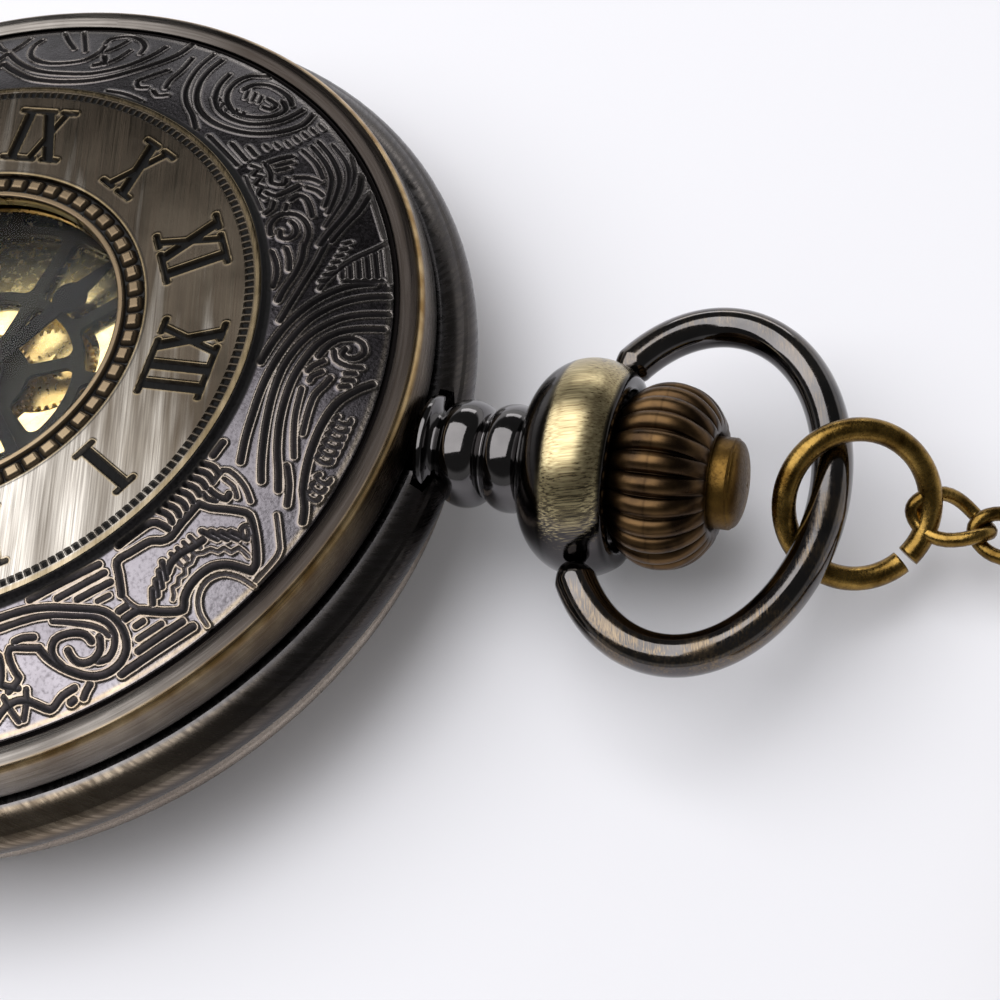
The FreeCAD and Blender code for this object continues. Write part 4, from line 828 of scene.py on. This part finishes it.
CHAIN_ROUTE = [(-1.3, 44.4, 3.6), (-1.1, 48.6, 2.35), (-0.1, 52.2, 1.45), (0.9, 56.2, 1.35),
               (0.9, 61.0, 1.35)]
COIL_CENTRE = (15.2, 66.5)
COIL_OUTER_R = 14.3
COIL_INNER_R = 11.7
COIL_LOW_Z = 1.35
COIL_HIGH_Z = 3.95
COIL_POINTS = 51
COIL_TAIL = [(12.4, 81.1, 3.95), (14.0, 82.6, 3.3), (14.9, 83.5, 1.8)]
LINK_WIRE_R = 0.32
LINK_HALF_LENGTH = 1.72
LINK_HALF_WIDTH = 1.06
LINK_PITCH = 2.74
LINK_TWIST = math.radians(88)


def coil_points():
    """Turns side by side on the floor, and as many on top of them."""
    points = []
    for k in range(1, COIL_POINTS + 1):
        turns = k / 16
        angle = math.radians(180) - turns * 2 * math.pi
        inside = smoothstep(0.5, 0.8, turns) - smoothstep(2.25, 2.55, turns)
        r = COIL_OUTER_R + (COIL_INNER_R - COIL_OUTER_R) * inside
        z = COIL_LOW_Z + (COIL_HIGH_Z - COIL_LOW_Z) * smoothstep(1.35, 1.62, turns)
        points.append((COIL_CENTRE[0] + r * math.cos(angle), COIL_CENTRE[1] + r * math.sin(angle), z))
    return points


def chain_line():
    """Evenly spaced points on the chain's smooth route, in millimetres."""
    route = CHAIN_ROUTE + coil_points() + COIL_TAIL
    curve = bpy.data.curves.new("chain_route", "CURVE")
    curve.dimensions = "3D"
    curve.resolution_u = 16
    spline = curve.splines.new("NURBS")
    spline.points.add(len(route) - 1)
    for point, place in zip(spline.points, route):
        point.co = (*place, 1)
    spline.order_u = 3
    spline.use_endpoint_u = True
    holder = bpy.data.objects.new("chain_route", curve)
    mesh = bpy.data.meshes.new_from_object(holder)
    line = np.array([v.co for v in mesh.vertices])
    bpy.data.objects.remove(holder)
    bpy.data.curves.remove(curve)
    bpy.data.meshes.remove(mesh)
    run = np.concatenate([[0], np.cumsum(np.linalg.norm(np.diff(line, axis=0), axis=1))])
    even = np.linspace(0, run[-1], int(run[-1] / 0.25))
    return np.stack([np.interp(even, run, line[:, k]) for k in range(3)], -1), even


def chain():
    """Twisted oval links, each through the next, along the route."""
    line, run = chain_line()
    ways = np.gradient(line, axis=0)
    ways /= np.linalg.norm(ways, axis=1)[:, None]
    steps, sides = 36, 12
    t = np.linspace(0, 2 * np.pi, steps, endpoint=False)
    section = np.linspace(0, 2 * np.pi, sides, endpoint=False)
    count = int((run[-1] - 2 * LINK_HALF_LENGTH) / LINK_PITCH) + 1
    all_points = []
    all_faces = []
    for k in range(count):
        at = 0.56 + k * LINK_PITCH
        along = np.clip(at + LINK_HALF_LENGTH * np.cos(t), 0, run[-1])
        across = LINK_HALF_WIDTH * np.sin(t) * (1 - 0.12 * np.cos(t) ** 2)
        centre = np.stack([np.interp(along, run, line[:, i]) for i in range(3)], -1)
        way = np.stack([np.interp(along, run, ways[:, i]) for i in range(3)], -1)
        over = (at + LINK_HALF_LENGTH * np.cos(t)) - along
        centre += way * over[:, None]
        side = np.cross(way, (0, 0, 1.0))
        side /= np.linalg.norm(side, axis=1)[:, None]
        up = np.cross(side, way)
        lean = LINK_TWIST * 0.5 * np.cos(t) + 0.15 * math.sin(1.7 * k)
        direction = side * np.cos(lean)[:, None] + up * np.sin(lean)[:, None]
        loop = centre + direction * across[:, None]
        tangent = np.roll(loop, -1, 0) - np.roll(loop, 1, 0)
        tangent /= np.linalg.norm(tangent, axis=1)[:, None]
        middle = loop.mean(0)
        outward = loop - middle
        outward -= tangent * (outward * tangent).sum(1)[:, None]
        outward /= np.linalg.norm(outward, axis=1)[:, None]
        third = np.cross(tangent, outward)
        ring = (loop[:, None] + LINK_WIRE_R * (outward[:, None] * np.cos(section)[None, :, None]
                                               + third[:, None] * np.sin(section)[None, :, None]))
        all_faces.append(grid_faces(steps, sides, True, True)[:, ::-1] + k * steps * sides)
        all_points.append(ring.reshape(-1, 3))
    piece = mesh_piece("chain_links", np.concatenate(all_points), np.concatenate(all_faces))
    return piece, line


def t_bar():
    """Round bar with ball ends and an eye."""
    low, high = (Vector(c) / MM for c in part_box("chain_t_bar"))
    bar_y = high.y - 1.0
    z = (low.z + high.z) / 2
    half = (high.x - low.x) / 2
    middle = (high.x + low.x) / 2
    x = np.concatenate([-half + 1.0 * (1 - np.cos(np.linspace(0, 2.4, 16))),
                        [-half + 2.2, -3, -1.2, -0.9, 0.9, 1.2, 3, half - 2.2],
                        half - 1.0 * (1 - np.cos(np.linspace(2.4, 0, 16)))])
    ball = np.sin(np.linspace(0.03, 2.4, 16))
    radius = np.concatenate([ball, [0.62, 0.75, 0.8, 0.98, 0.98, 0.8, 0.75, 0.62], ball[::-1]])
    bar, ring = sweep("t_bar", [(middle + p, bar_y, z) for p in x], radius * 0.99, sides=40)
    turn = np.linspace(0, 2 * np.pi, 80, endpoint=False)
    eye_y = low.y + 2.0
    path = np.stack([middle + 1.5 * np.cos(turn), eye_y + 1.5 * np.sin(turn), z + 0 * turn], -1)
    eye, ring = sweep("t_bar_eye", path, 0.48, closed=True, sides=24)
    return bar, eye


# ---------------------------------------------------------------- materials

def tone(text):
    """Linear colour from a hex triple."""
    parts = [int(text[k:k + 2], 16) / 255 for k in (0, 2, 4)]
    return tuple(c / 12.92 if c < 0.04045 else ((c + 0.055) / 1.055) ** 2.4 for c in parts) + (1.0,)


class Finish:
    """Node material put together from a few plain steps; sizes are in millimetres."""

    def __init__(self, name, metallic=1.0, roughness=0.3):
        self.material = bpy.data.materials.new(name)
        self.material.use_nodes = True
        self.tree = self.material.node_tree
        self.surface = self.tree.nodes["Principled BSDF"]
        self.surface.inputs["Metallic"].default_value = metallic
        self.surface.inputs["Roughness"].default_value = roughness
        self.place = self.make("ShaderNodeTexCoord").outputs["Object"]

    def make(self, kind, **settings):
        node = self.tree.nodes.new(kind)
        for key, value in settings.items():
            setattr(node, key, value)
        return node

    def feed(self, socket, value):
        if isinstance(value, bpy.types.NodeSocket):
            self.tree.links.new(value, socket)
        else:
            socket.default_value = tone(value) if isinstance(value, str) else value

    def channel(self, index):
        """First, second or third mark of the mesh: patina, wear, a painted highlight or shade, or another
        mark.
        """
        mark = self.make("ShaderNodeAttribute", attribute_name="finish")
        split = self.make("ShaderNodeSeparateColor")
        self.feed(split.inputs[0], mark.outputs["Color"])
        return split.outputs[index]

    def maths(self, kind, a, b=0.0):
        node = self.make("ShaderNodeMath", operation=kind)
        self.feed(node.inputs[0], a)
        self.feed(node.inputs[1], b)
        return node.outputs[0]

    def axis(self, index):
        split = self.make("ShaderNodeSeparateXYZ")
        self.feed(split.inputs[0], self.place)
        return self.maths("MULTIPLY", split.outputs[index], 1 / MM)

    def radius(self):
        squares = [self.maths("MULTIPLY", side, side) for side in (self.axis(0), self.axis(1))]
        return self.maths("SQRT", self.maths("ADD", *squares))

    def along(self, angle):
        """Distance from the cover's middle towards an angle, in millimetres."""
        way = math.radians(angle)
        return self.maths("ADD", self.maths("MULTIPLY", self.axis(0), math.cos(way)),
                          self.maths("MULTIPLY", self.axis(1), math.sin(way)))

    def spread(self, value, low, high, out_low=0.0, out_high=1.0):
        node = self.make("ShaderNodeMapRange")
        self.feed(node.inputs[0], value)
        for index, number in zip((1, 2, 3, 4), (low, high, out_low, out_high)):
            node.inputs[index].default_value = number
        return node.outputs[0]

    def noise(self, size, detail=3.0, stretch=(1, 1, 1), turn=0.0, place=None):
        """Cloudy value whose lumps are about size across, stretched along axes turned about Z."""
        mapping = self.make("ShaderNodeMapping", vector_type="TEXTURE")
        self.feed(mapping.inputs["Vector"], self.place if place is None else place)
        mapping.inputs["Rotation"].default_value = (0, 0, turn)
        unit = size * MM if place is None else size
        mapping.inputs["Scale"].default_value = [unit * s for s in stretch]
        node = self.make("ShaderNodeTexNoise")
        self.feed(node.inputs["Vector"], mapping.outputs[0])
        node.inputs["Scale"].default_value = 1.0
        node.inputs["Detail"].default_value = detail
        return node.outputs["Fac"]

    def wrapped(self):
        """Place as (way round the case, height), in millimetres."""
        turn = self.maths("ARCTAN2", self.axis(1), self.axis(0))
        join = self.make("ShaderNodeCombineXYZ")
        self.feed(join.inputs[0], self.maths("MULTIPLY", turn, 23.0))
        self.feed(join.inputs[1], self.axis(2))
        self.feed(join.inputs[2], self.radius())
        return join.outputs[0]

    def mix(self, share, a, b):
        node = self.make("ShaderNodeMix", data_type="RGBA")
        self.feed(node.inputs["Factor"], share)
        self.feed(node.inputs["A"], a)
        self.feed(node.inputs["B"], b)
        return node.outputs["Result"]

    def blend(self, value, a, b, low=0.3, high=0.7, share=1.0):
        """Colour that goes from a towards b, by share, as the value goes from low to high."""
        return self.mix(self.spread(value, low, high, 0, share), a, b)

    def paint(self, colour=None, roughness=None, metallic=None, height=None, depth=0.01):
        if colour is not None:
            self.feed(self.surface.inputs["Base Color"], colour)
        if roughness is not None:
            self.feed(self.surface.inputs["Roughness"], roughness)
        if metallic is not None:
            self.feed(self.surface.inputs["Metallic"], metallic)
        if height is not None:
            bump = self.make("ShaderNodeBump")
            bump.inputs["Strength"].default_value = 1.0
            bump.inputs["Distance"].default_value = depth * MM
            self.feed(bump.inputs["Height"], height)
            self.feed(self.surface.inputs["Normal"], bump.outputs[0])
        return self.material


PATINA_SHINE = 0.15                 # specular level of the dark recesses
BRUSH_WAY = math.radians(15)        # direction of the plate's brushing
FLANK_WAY = math.radians(-34)


def engraved_silver():
    """Silvered relief with bronze showing on its lips, and painted shade that darkens it and greys the lips
    towards the crown's far side.
    """
    f = Finish("antique_silver_engraved")
    patina, wear = f.channel(0), f.channel(1)
    cloud = f.noise(3.2, 4)
    grain = f.noise(0.16, 3)
    # Painted shade: this mask darkens the ground towards the crown's far side.
    shade = f.spread(f.maths("ADD", f.along(145), f.spread(cloud, 0.3, 0.7, -5, 5)), -7, 16)
    ground = f.blend(cloud, "767176", "9d989e", 0.32, 0.68)
    ground = f.mix(shade, ground, "353234")
    ground = f.blend(grain, ground, "3c373b", 0.5, 0.8, 0.6)
    gold = f.blend(f.noise(0.9, 3), "a08a6c", "c9b699", 0.35, 0.7)
    # Painted shade also greys the bronze lips on that side.
    gold = f.mix(shade, gold, "77726f")
    worn = f.maths("MULTIPLY", wear, f.spread(cloud, 0.25, 0.6, 0.35, 0.95))
    colour = f.mix(worn, ground, gold)
    dark = f.maths("MULTIPLY", patina, f.spread(grain, 0.3, 0.75, 1.0, 0.9))
    colour = f.mix(dark, colour, "070606")
    rough = f.maths("ADD", f.spread(grain, 0.3, 0.7, 0.2, 0.32), f.maths("MULTIPLY", patina, 0.4))
    f.surface.inputs["Specular IOR Level"].default_value = PATINA_SHINE
    return f.paint(colour, rough, f.spread(patina, 0, 1, 1, 0.0), grain, 0.010)


def brushed_bronze():
    """Plate brushed in one straight direction, with painted shade that darkens it towards the crown's far
    side.
    """
    f = Finish("plate_bronze_brushed")
    patina, wear = f.channel(0), f.channel(1)
    lines = f.noise(0.07, 3, stretch=(60, 1, 1), turn=BRUSH_WAY)
    broad = f.noise(0.8, 3, stretch=(12, 1, 1), turn=BRUSH_WAY)
    cloud = f.noise(5.0, 3)
    # Painted shade: this mask darkens the plate towards the crown's far side.
    shade = f.spread(f.maths("ADD", f.along(140), f.spread(broad, 0.3, 0.7, -4, 4)), -8, 8)
    plate = f.mix(shade, "cfc9c1", "221f1a")
    plate = f.blend(cloud, plate, "857a6b", 0.35, 0.65, 0.22)
    plate = f.blend(broad, plate, "5d5246", 0.35, 0.7, 0.3)
    plate = f.blend(lines, plate, "40372f", 0.35, 0.72, 0.6)
    gold = f.blend(f.noise(0.7, 3), "80704f", "b09c7a", 0.35, 0.7)
    # Painted shade also darkens the worn gold on that side.
    gold = f.mix(f.maths("MULTIPLY", shade, 0.7), gold, "4b4132")
    colour = f.mix(wear, plate, gold)
    colour = f.mix(patina, colour, "060505")
    rough = f.maths("ADD", f.spread(lines, 0.3, 0.7, 0.15, 0.28), f.maths("MULTIPLY", patina, 0.4))
    f.surface.inputs["Specular IOR Level"].default_value = PATINA_SHINE
    return f.paint(colour, rough, f.spread(patina, 0, 1, 1, 0.0), lines, 0.006)


def bead_brass():
    f = Finish("pale_brass_beads")
    patina, wear = f.channel(0), f.channel(1)
    cloud = f.noise(1.4, 3)
    cream = f.blend(cloud, "8c7b62", "b5a285", 0.35, 0.7)
    # Painted shade: the beads darken towards the crown's far side.
    cream = f.blend(f.along(140), cream, "6c5d4a", -9, 6)
    colour = f.mix(wear, "3f362d", cream)
    colour = f.mix(patina, colour, "080707")
    f.surface.inputs["Specular IOR Level"].default_value = PATINA_SHINE
    rough = f.spread(cloud, 0.3, 0.7, 0.22, 0.34)
    return f.paint(colour, rough, f.spread(patina, 0, 1, 1, 0.0), cloud, 0.008)


def rim_gold():
    f = Finish("antique_brass_rim")
    groove, ridge, foot = f.channel(0), f.channel(1), f.channel(2)
    cloud = f.noise(2.6, 4)
    lines = f.noise(0.09, 2, stretch=(40, 1, 1), place=f.wrapped())
    wall = f.blend(cloud, "8a8580", "b0aaa4")
    # Painted shade: the rim's wall darkens towards the crown.
    wall = f.blend(f.along(110), wall, "35302d", -8, 14)
    wall = f.blend(lines, wall, "2d2620", 0.35, 0.7, 0.45)
    gold = f.blend(f.noise(1.1, 3), "a07f4f", "d3b687", 0.35, 0.65)
    colour = f.mix(ridge, wall, gold)
    # Painted shade: the skirt's lower edge is darkened in the gap between cover and case.
    colour = f.mix(foot, colour, "17120f")
    colour = f.mix(groove, colour, "0b0909")
    return f.paint(colour, f.spread(lines, 0.3, 0.7, 0.2, 0.36), None, lines, 0.005)


def brushed_case():
    """Slanting brush streaks on the cone and flank, plain polish on the flange and inside."""
    f = Finish("case_brown_brushed")
    place = f.wrapped()
    streaks = f.noise(0.13, 3, stretch=(26, 1, 4), turn=FLANK_WAY, place=place)
    broad = f.noise(0.9, 2, stretch=(5, 1, 2), turn=FLANK_WAY, place=place)
    cloud = f.noise(5.0, 3)
    z = f.axis(2)
    brown = f.blend(broad, "786a5a", "a49684")
    brown = f.blend(streaks, brown, "33291f", 0.32, 0.68, 0.65)
    grey = f.blend(cloud, "5f5c5c", "7d7a7a")
    colour = f.mix(f.spread(f.radius(), 22.2, 22.35, 1, 0), brown, grey)
    belly = f.blend(streaks, "4a4644", "5d5855")
    colour = f.mix(f.maths("MULTIPLY", f.spread(z, 6.15, 6.4, 1, 0), 0.8), colour, belly)
    # Painted shade: the case turns dark grey on the crown's side.
    colour = f.blend(f.along(105), colour, "413f40", 6, 16, 0.9)
    edge = f.maths("MULTIPLY", f.spread(z, 4.7, 5.0, 1, 0), f.spread(cloud, 0.3, 0.6, 0.4, 1))
    colour = f.mix(edge, colour, "a9865a")
    return f.paint(colour, f.spread(streaks, 0.3, 0.7, 0.2, 0.34), None, streaks, 0.006)


def back_silver():
    f = Finish("antique_silver_back")
    cloud = f.noise(6.0, 4)
    fine = f.noise(0.12, 2, stretch=(30, 1, 1), turn=0.4)
    colour = f.blend(cloud, "8f8378", "b7aca0")
    colour = f.blend(fine, colour, "5a4c40", 0.45, 0.8, 0.4)
    return f.paint(colour, f.spread(fine, 0.3, 0.7, 0.22, 0.38), None, fine, 0.004)


def black_nickel(name="black_nickel_polished", worn=False):
    f = Finish(name, roughness=0.1)
    cloud = f.noise(2.4, 3)
    fine = f.noise(0.2, 2)
    f.surface.inputs["Coat Weight"].default_value = 0.5
    colour = f.blend(cloud, "444243", "605d5d")
    rough = f.spread(fine, 0.3, 0.7, 0.06, 0.12)
    if worn:
        lines = f.noise(0.07, 3, stretch=(22, 1, 1), turn=BRUSH_WAY)
        cloudy = f.maths("ADD", f.noise(1.6, 3), f.spread(lines, 0.3, 0.7, -0.1, 0.1))
        top = f.maths("MULTIPLY", f.channel(1), f.spread(cloudy, 0.42, 0.6, 0.05, 0.8))
        bronze = f.blend(lines, "4c4136", "8f7b60")
        colour = f.mix(top, colour, bronze)
        rough = f.maths("ADD", rough, f.maths("MULTIPLY", top, 0.2))
    return f.paint(colour, rough, None, fine, 0.002)


def cup_finish():
    """Black cup with a brushed brass band, its pale tone partly a painted highlight, which painted shade
    fades out on its lower half.
    """
    f = Finish("black_nickel_cup")
    cloud = f.noise(2.0, 3)
    lines = f.noise(0.07, 3, stretch=(1, 40, 1), turn=math.radians(14))
    height = f.maths("ADD", f.axis(2), f.spread(lines, 0.3, 0.7, -1.0, 1.0))
    # Painted shade: the band fades to black towards the bottom of the cup.
    band = f.maths("MULTIPLY", f.channel(0), f.spread(height, 8.0, 9.8))
    black = f.blend(cloud, "373536", "4e4b4b")
    # Brushed brass whose pale tone is partly a painted highlight.
    brass = f.blend(lines, "8b7a58", "d6c79c")
    brass = f.blend(cloud, brass, "5f4e3a", 0.4, 0.7, 0.4)
    colour = f.mix(band, black, brass)
    colour = f.mix(f.maths("MULTIPLY", f.channel(1), 0.7), colour, "0e0c0b")
    rough = f.maths("ADD", f.spread(lines, 0.3, 0.7, 0.07, 0.12), f.maths("MULTIPLY", band, 0.2))
    return f.paint(colour, rough, None, lines, 0.003)


def crown_copper():
    f = Finish("crown_copper_ribs")
    groove, crest_highlight, seam = f.channel(0), f.channel(1), f.channel(2)
    cloud = f.noise(1.5, 4)
    colour = f.blend(cloud, "2a2019", "463626")
    # Painted highlight: the rib tops are lightened in patches.
    bright = f.maths("MULTIPLY", crest_highlight, f.spread(cloud, 0.4, 0.65, 0.1, 0.75))
    colour = f.mix(bright, colour, "745939")
    colour = f.mix(groove, colour, "0f0a07")
    colour = f.mix(f.maths("MULTIPLY", seam, 0.45), colour, "1f150d")
    return f.paint(colour, f.spread(cloud, 0.3, 0.7, 0.25, 0.4), None, cloud, 0.02)


def antique_brass(name="antique_brass_satin", light="97793f", dark="523c18", rough=0.26):
    f = Finish(name)
    cloud = f.noise(1.1, 4)
    fine = f.noise(0.12, 3)
    colour = f.blend(cloud, dark, light, 0.32, 0.66)
    colour = f.blend(fine, colour, "33261a", 0.58, 0.8, 0.6)
    return f.paint(colour, f.spread(fine, 0.3, 0.7, rough - 0.07, rough + 0.09), None, fine, 0.01)


def satin(name, light, dark, rough=0.3, metallic=1.0, grain=0.25, depth=0.004, shine=0.5):
    """Evenly grained metal or lacquer in two near tones."""
    f = Finish(name, metallic=metallic)
    cloud = f.noise(grain * 6, 3)
    fine = f.noise(grain, 2)
    f.surface.inputs["Specular IOR Level"].default_value = shine
    colour = f.blend(cloud, dark, light)
    return f.paint(colour, f.spread(fine, 0.3, 0.7, rough * 0.8, rough * 1.25), None, fine, depth)


def glass(name="crystal_glass"):
    """Clear mineral glass with a little unevenness in its polish."""
    f = Finish(name, metallic=0.0)
    f.surface.inputs["Base Color"].default_value = (1, 1, 1, 1)
    f.surface.inputs["Transmission Weight"].default_value = 1.0
    f.surface.inputs["IOR"].default_value = 1.1
    return f.paint(None, f.spread(f.noise(4.0, 2), 0.3, 0.7, 0.0, 0.02))


# ---------------------------------------------------------------- studio

ROOM_LEVEL = 0.07       # brightness of the room in reflections
SWEEP_LEVEL = 0.8       # brightness of the pale sweep in reflections
ROOM_SWEEP_TOP = 0.42   # sine of the height at which the sweep ends
FILL_LEVEL = 0.3


def studio():
    """White for the camera; reflections see a dim room with a bright sweep low on the far side."""
    world = bpy.data.worlds.new("studio")
    bpy.context.scene.world = world
    world.use_nodes = True
    tree = world.node_tree

    def make(kind, a, b=None, operation=None):
        node = tree.nodes.new(kind)
        if operation:
            node.operation = operation
        for socket, value in zip(node.inputs, (a, b)):
            if isinstance(value, bpy.types.NodeSocket):
                tree.links.new(value, socket)
            elif value is not None:
                socket.default_value = value
        return node

    def spread(value, low, high, out_low, out_high):
        node = make("ShaderNodeMapRange", value)
        node.interpolation_type = "SMOOTHSTEP"
        for index, number in zip((1, 2, 3, 4), (low, high, out_low, out_high)):
            node.inputs[index].default_value = number
        return node.outputs[0]

    place = tree.nodes.new("ShaderNodeTexCoord")
    way = make("ShaderNodeSeparateXYZ", place.outputs["Generated"])
    path = tree.nodes.new("ShaderNodeLightPath")
    low = spread(way.outputs["Z"], ROOM_SWEEP_TOP - 0.2, ROOM_SWEEP_TOP, 1, 0)
    far = spread(way.outputs["X"], -0.85, -0.1, 1, 0.42)
    sweep_light = make("ShaderNodeMath", low, far, "MULTIPLY").outputs[0]
    room = spread(sweep_light, 0, 1, ROOM_LEVEL, SWEEP_LEVEL)
    glossy = make("ShaderNodeMath", path.outputs["Is Glossy Ray"], room, "MULTIPLY").outputs[0]
    plain = spread(path.outputs["Is Glossy Ray"], 0, 1, FILL_LEVEL, 0)
    lit = make("ShaderNodeMath", glossy, plain, "ADD").outputs[0]
    clear = make("ShaderNodeMath", path.outputs["Is Transmission Ray"], low, "MULTIPLY")
    both = make("ShaderNodeMath", path.outputs["Is Camera Ray"], clear.outputs[0], "MAXIMUM")
    strength = make("ShaderNodeMath", lit, both.outputs[0], "MAXIMUM").outputs[0]
    sky = tree.nodes["Background"]
    sky.inputs["Color"].default_value = (1, 1, 1, 1)
    tree.links.new(strength, sky.inputs["Strength"])


def softbox(name, way, distance, width, height, power):
    """Rectangular lamp that faces the watch."""
    way = Vector(way).normalized()
    lamp = bpy.data.lights.new(name, "AREA")
    lamp.shape = "RECTANGLE"
    lamp.size = width
    lamp.size_y = height
    lamp.energy = power
    holder = bpy.data.objects.new(name, lamp)
    holder.location = TARGET * MM + way * distance
    holder.rotation_euler = way.to_track_quat("Z", "Y").to_euler()
    bpy.context.collection.objects.link(holder)


def floor():
    material = bpy.data.materials.new("floor_white")
    material.use_nodes = True
    tree = material.node_tree
    surface = tree.nodes["Principled BSDF"]
    surface.inputs["Base Color"].default_value = (0.765, 0.76, 0.80, 1)
    surface.inputs["Roughness"].default_value = 0.9
    path = tree.nodes.new("ShaderNodeLightPath")
    shown = tree.nodes.new("ShaderNodeMath")
    shown.operation = "MULTIPLY"
    shown.inputs[1].default_value = 0.05
    tree.links.new(path.outputs["Is Camera Ray"], shown.inputs[0])
    surface.inputs["Emission Color"].default_value = (1, 1, 1, 1)
    tree.links.new(shown.outputs[0], surface.inputs["Emission Strength"])
    corners = [(-2000, -2000, 0), (2000, -2000, 0), (2000, 2000, 0), (-2000, 2000, 0)]
    ground = mesh_piece("floor", corners, [(0, 1, 2, 3)], smooth=False)
    ground.data.materials.append(material)


# ---------------------------------------------------------------- putting it together

def dress(piece, material, body, nodes=()):
    piece.data.materials.clear()
    piece.data.materials.append(material)
    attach(piece, body)
    if nodes:
        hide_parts(*nodes)
    return piece


def paint_nodes(material, *names):
    """Give CAD nodes one material."""
    for name in names:
        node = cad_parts[name]
        for slot in node.material_slots:
            slot.material = material
        if not node.material_slots:
            node.data.materials.append(material)


add_camera()

BRASS = antique_brass()
links, line = chain()
dress(links, BRASS, "jump_ring", ["chain_run", "chain_coil"])
bar, eye = t_bar()
dress(bar, BRASS, "jump_ring", ["chain_t_bar"])
dress(eye, BRASS, "jump_ring", ["chain_t_bar"])

dress(ornament_band(), engraved_silver(), "front_cover", ["cover_shell"])
dress(numeral_ring(), brushed_bronze(), "front_cover", ["cover_shell"])
dress(bead_ring(), bead_brass(), "front_cover", ["cover_shell"])
RIM = rim_gold()
dress(cover_rim(), RIM, "front_cover", ["cover_shell"])
for piece in cover_knuckle():
    dress(piece, BRASS, "front_cover", ["cover_shell"])

NICKEL = black_nickel()
dress(pendant_beads(), NICKEL, "case", ["pendant_neck"])
dress(pendant_cup_shell(), cup_finish(), "case", ["pendant_cup"])
dress(crown_knob(), crown_copper(), "crown", ["crown_knob"])
dress(button_cap(), antique_brass("antique_brass_button", "75592b", "4d381a", 0.4), "push_button",
      ["push_button"])
dress(bow_wire(), black_nickel("black_nickel_worn", worn=True), "bow", ["bow"])
dress(jump_ring(), BRASS, "jump_ring", ["jump_ring"])

CASE = brushed_case()
GILT = satin("gilt_satin", "e2c98a", "c2a263", 0.3)
STEEL = satin("steel_polished", "b9bcc0", "83868b", 0.2)
paint_nodes(CASE, "middle_case")
paint_nodes(back_silver(), "back_cover")
paint_nodes(NICKEL, "pendant_sleeve")
paint_nodes(BRASS, "hinge_pin", "push_collar", "lid_latch")
paint_nodes(satin("dark_brass_ring", "8d7450", "4a3b28", 0.3), "window_ring", "crystal_bezel")
paint_nodes(STEEL, "cover_lift_spring", "winding_stem", "sliding_clutch", "winding_pinion", "bridge_screws",
            "minute_post", "click", "ratchet_wheel", "crown_wheel", "pallet_fork", "regulator")
paint_nodes(satin("spring_blue", "3c4a78", "222a48", 0.2), "hairspring", "mainspring")
paint_nodes(satin("plate_cream", "fbeab0", "ead08a", 0.24), "main_plate", "movement_ring")
paint_nodes(GILT, "barrel_bridge", "train_bridge", "balance_cock", "pallet_bridge", "mainspring_barrel",
            "centre_wheel", "cannon_pinion", "minute_wheel", "hour_wheel", "third_wheel", "fourth_wheel",
            "escape_wheel", "balance_wheel")
paint_nodes(satin("ruby_jewel", "b3163f", "7a0d2b", 0.08, metallic=0.0), "jewels")
paint_nodes(satin("dial_olive_grey", "26251c", "191811", 0.3, metallic=0.0, shine=0.05), "dial")
paint_nodes(satin("hand_black", "0c0c0c", "050505", 0.3, metallic=0.0, shine=0.05),
            "hour_hand", "minute_hand", "seconds_hand")
paint_nodes(glass(), "crystal", "window_glass")

studio()
floor()
softbox("softbox_overhead", (-0.02, -0.38, 1.0), 0.4, 0.48, 0.5, 2.2)
softbox("softbox_far", (-0.92, -0.10, 0.32), 0.5, 0.3, 0.08, 0.2)

view_settings = bpy.context.scene.view_settings
view_settings.view_transform = "Standard"
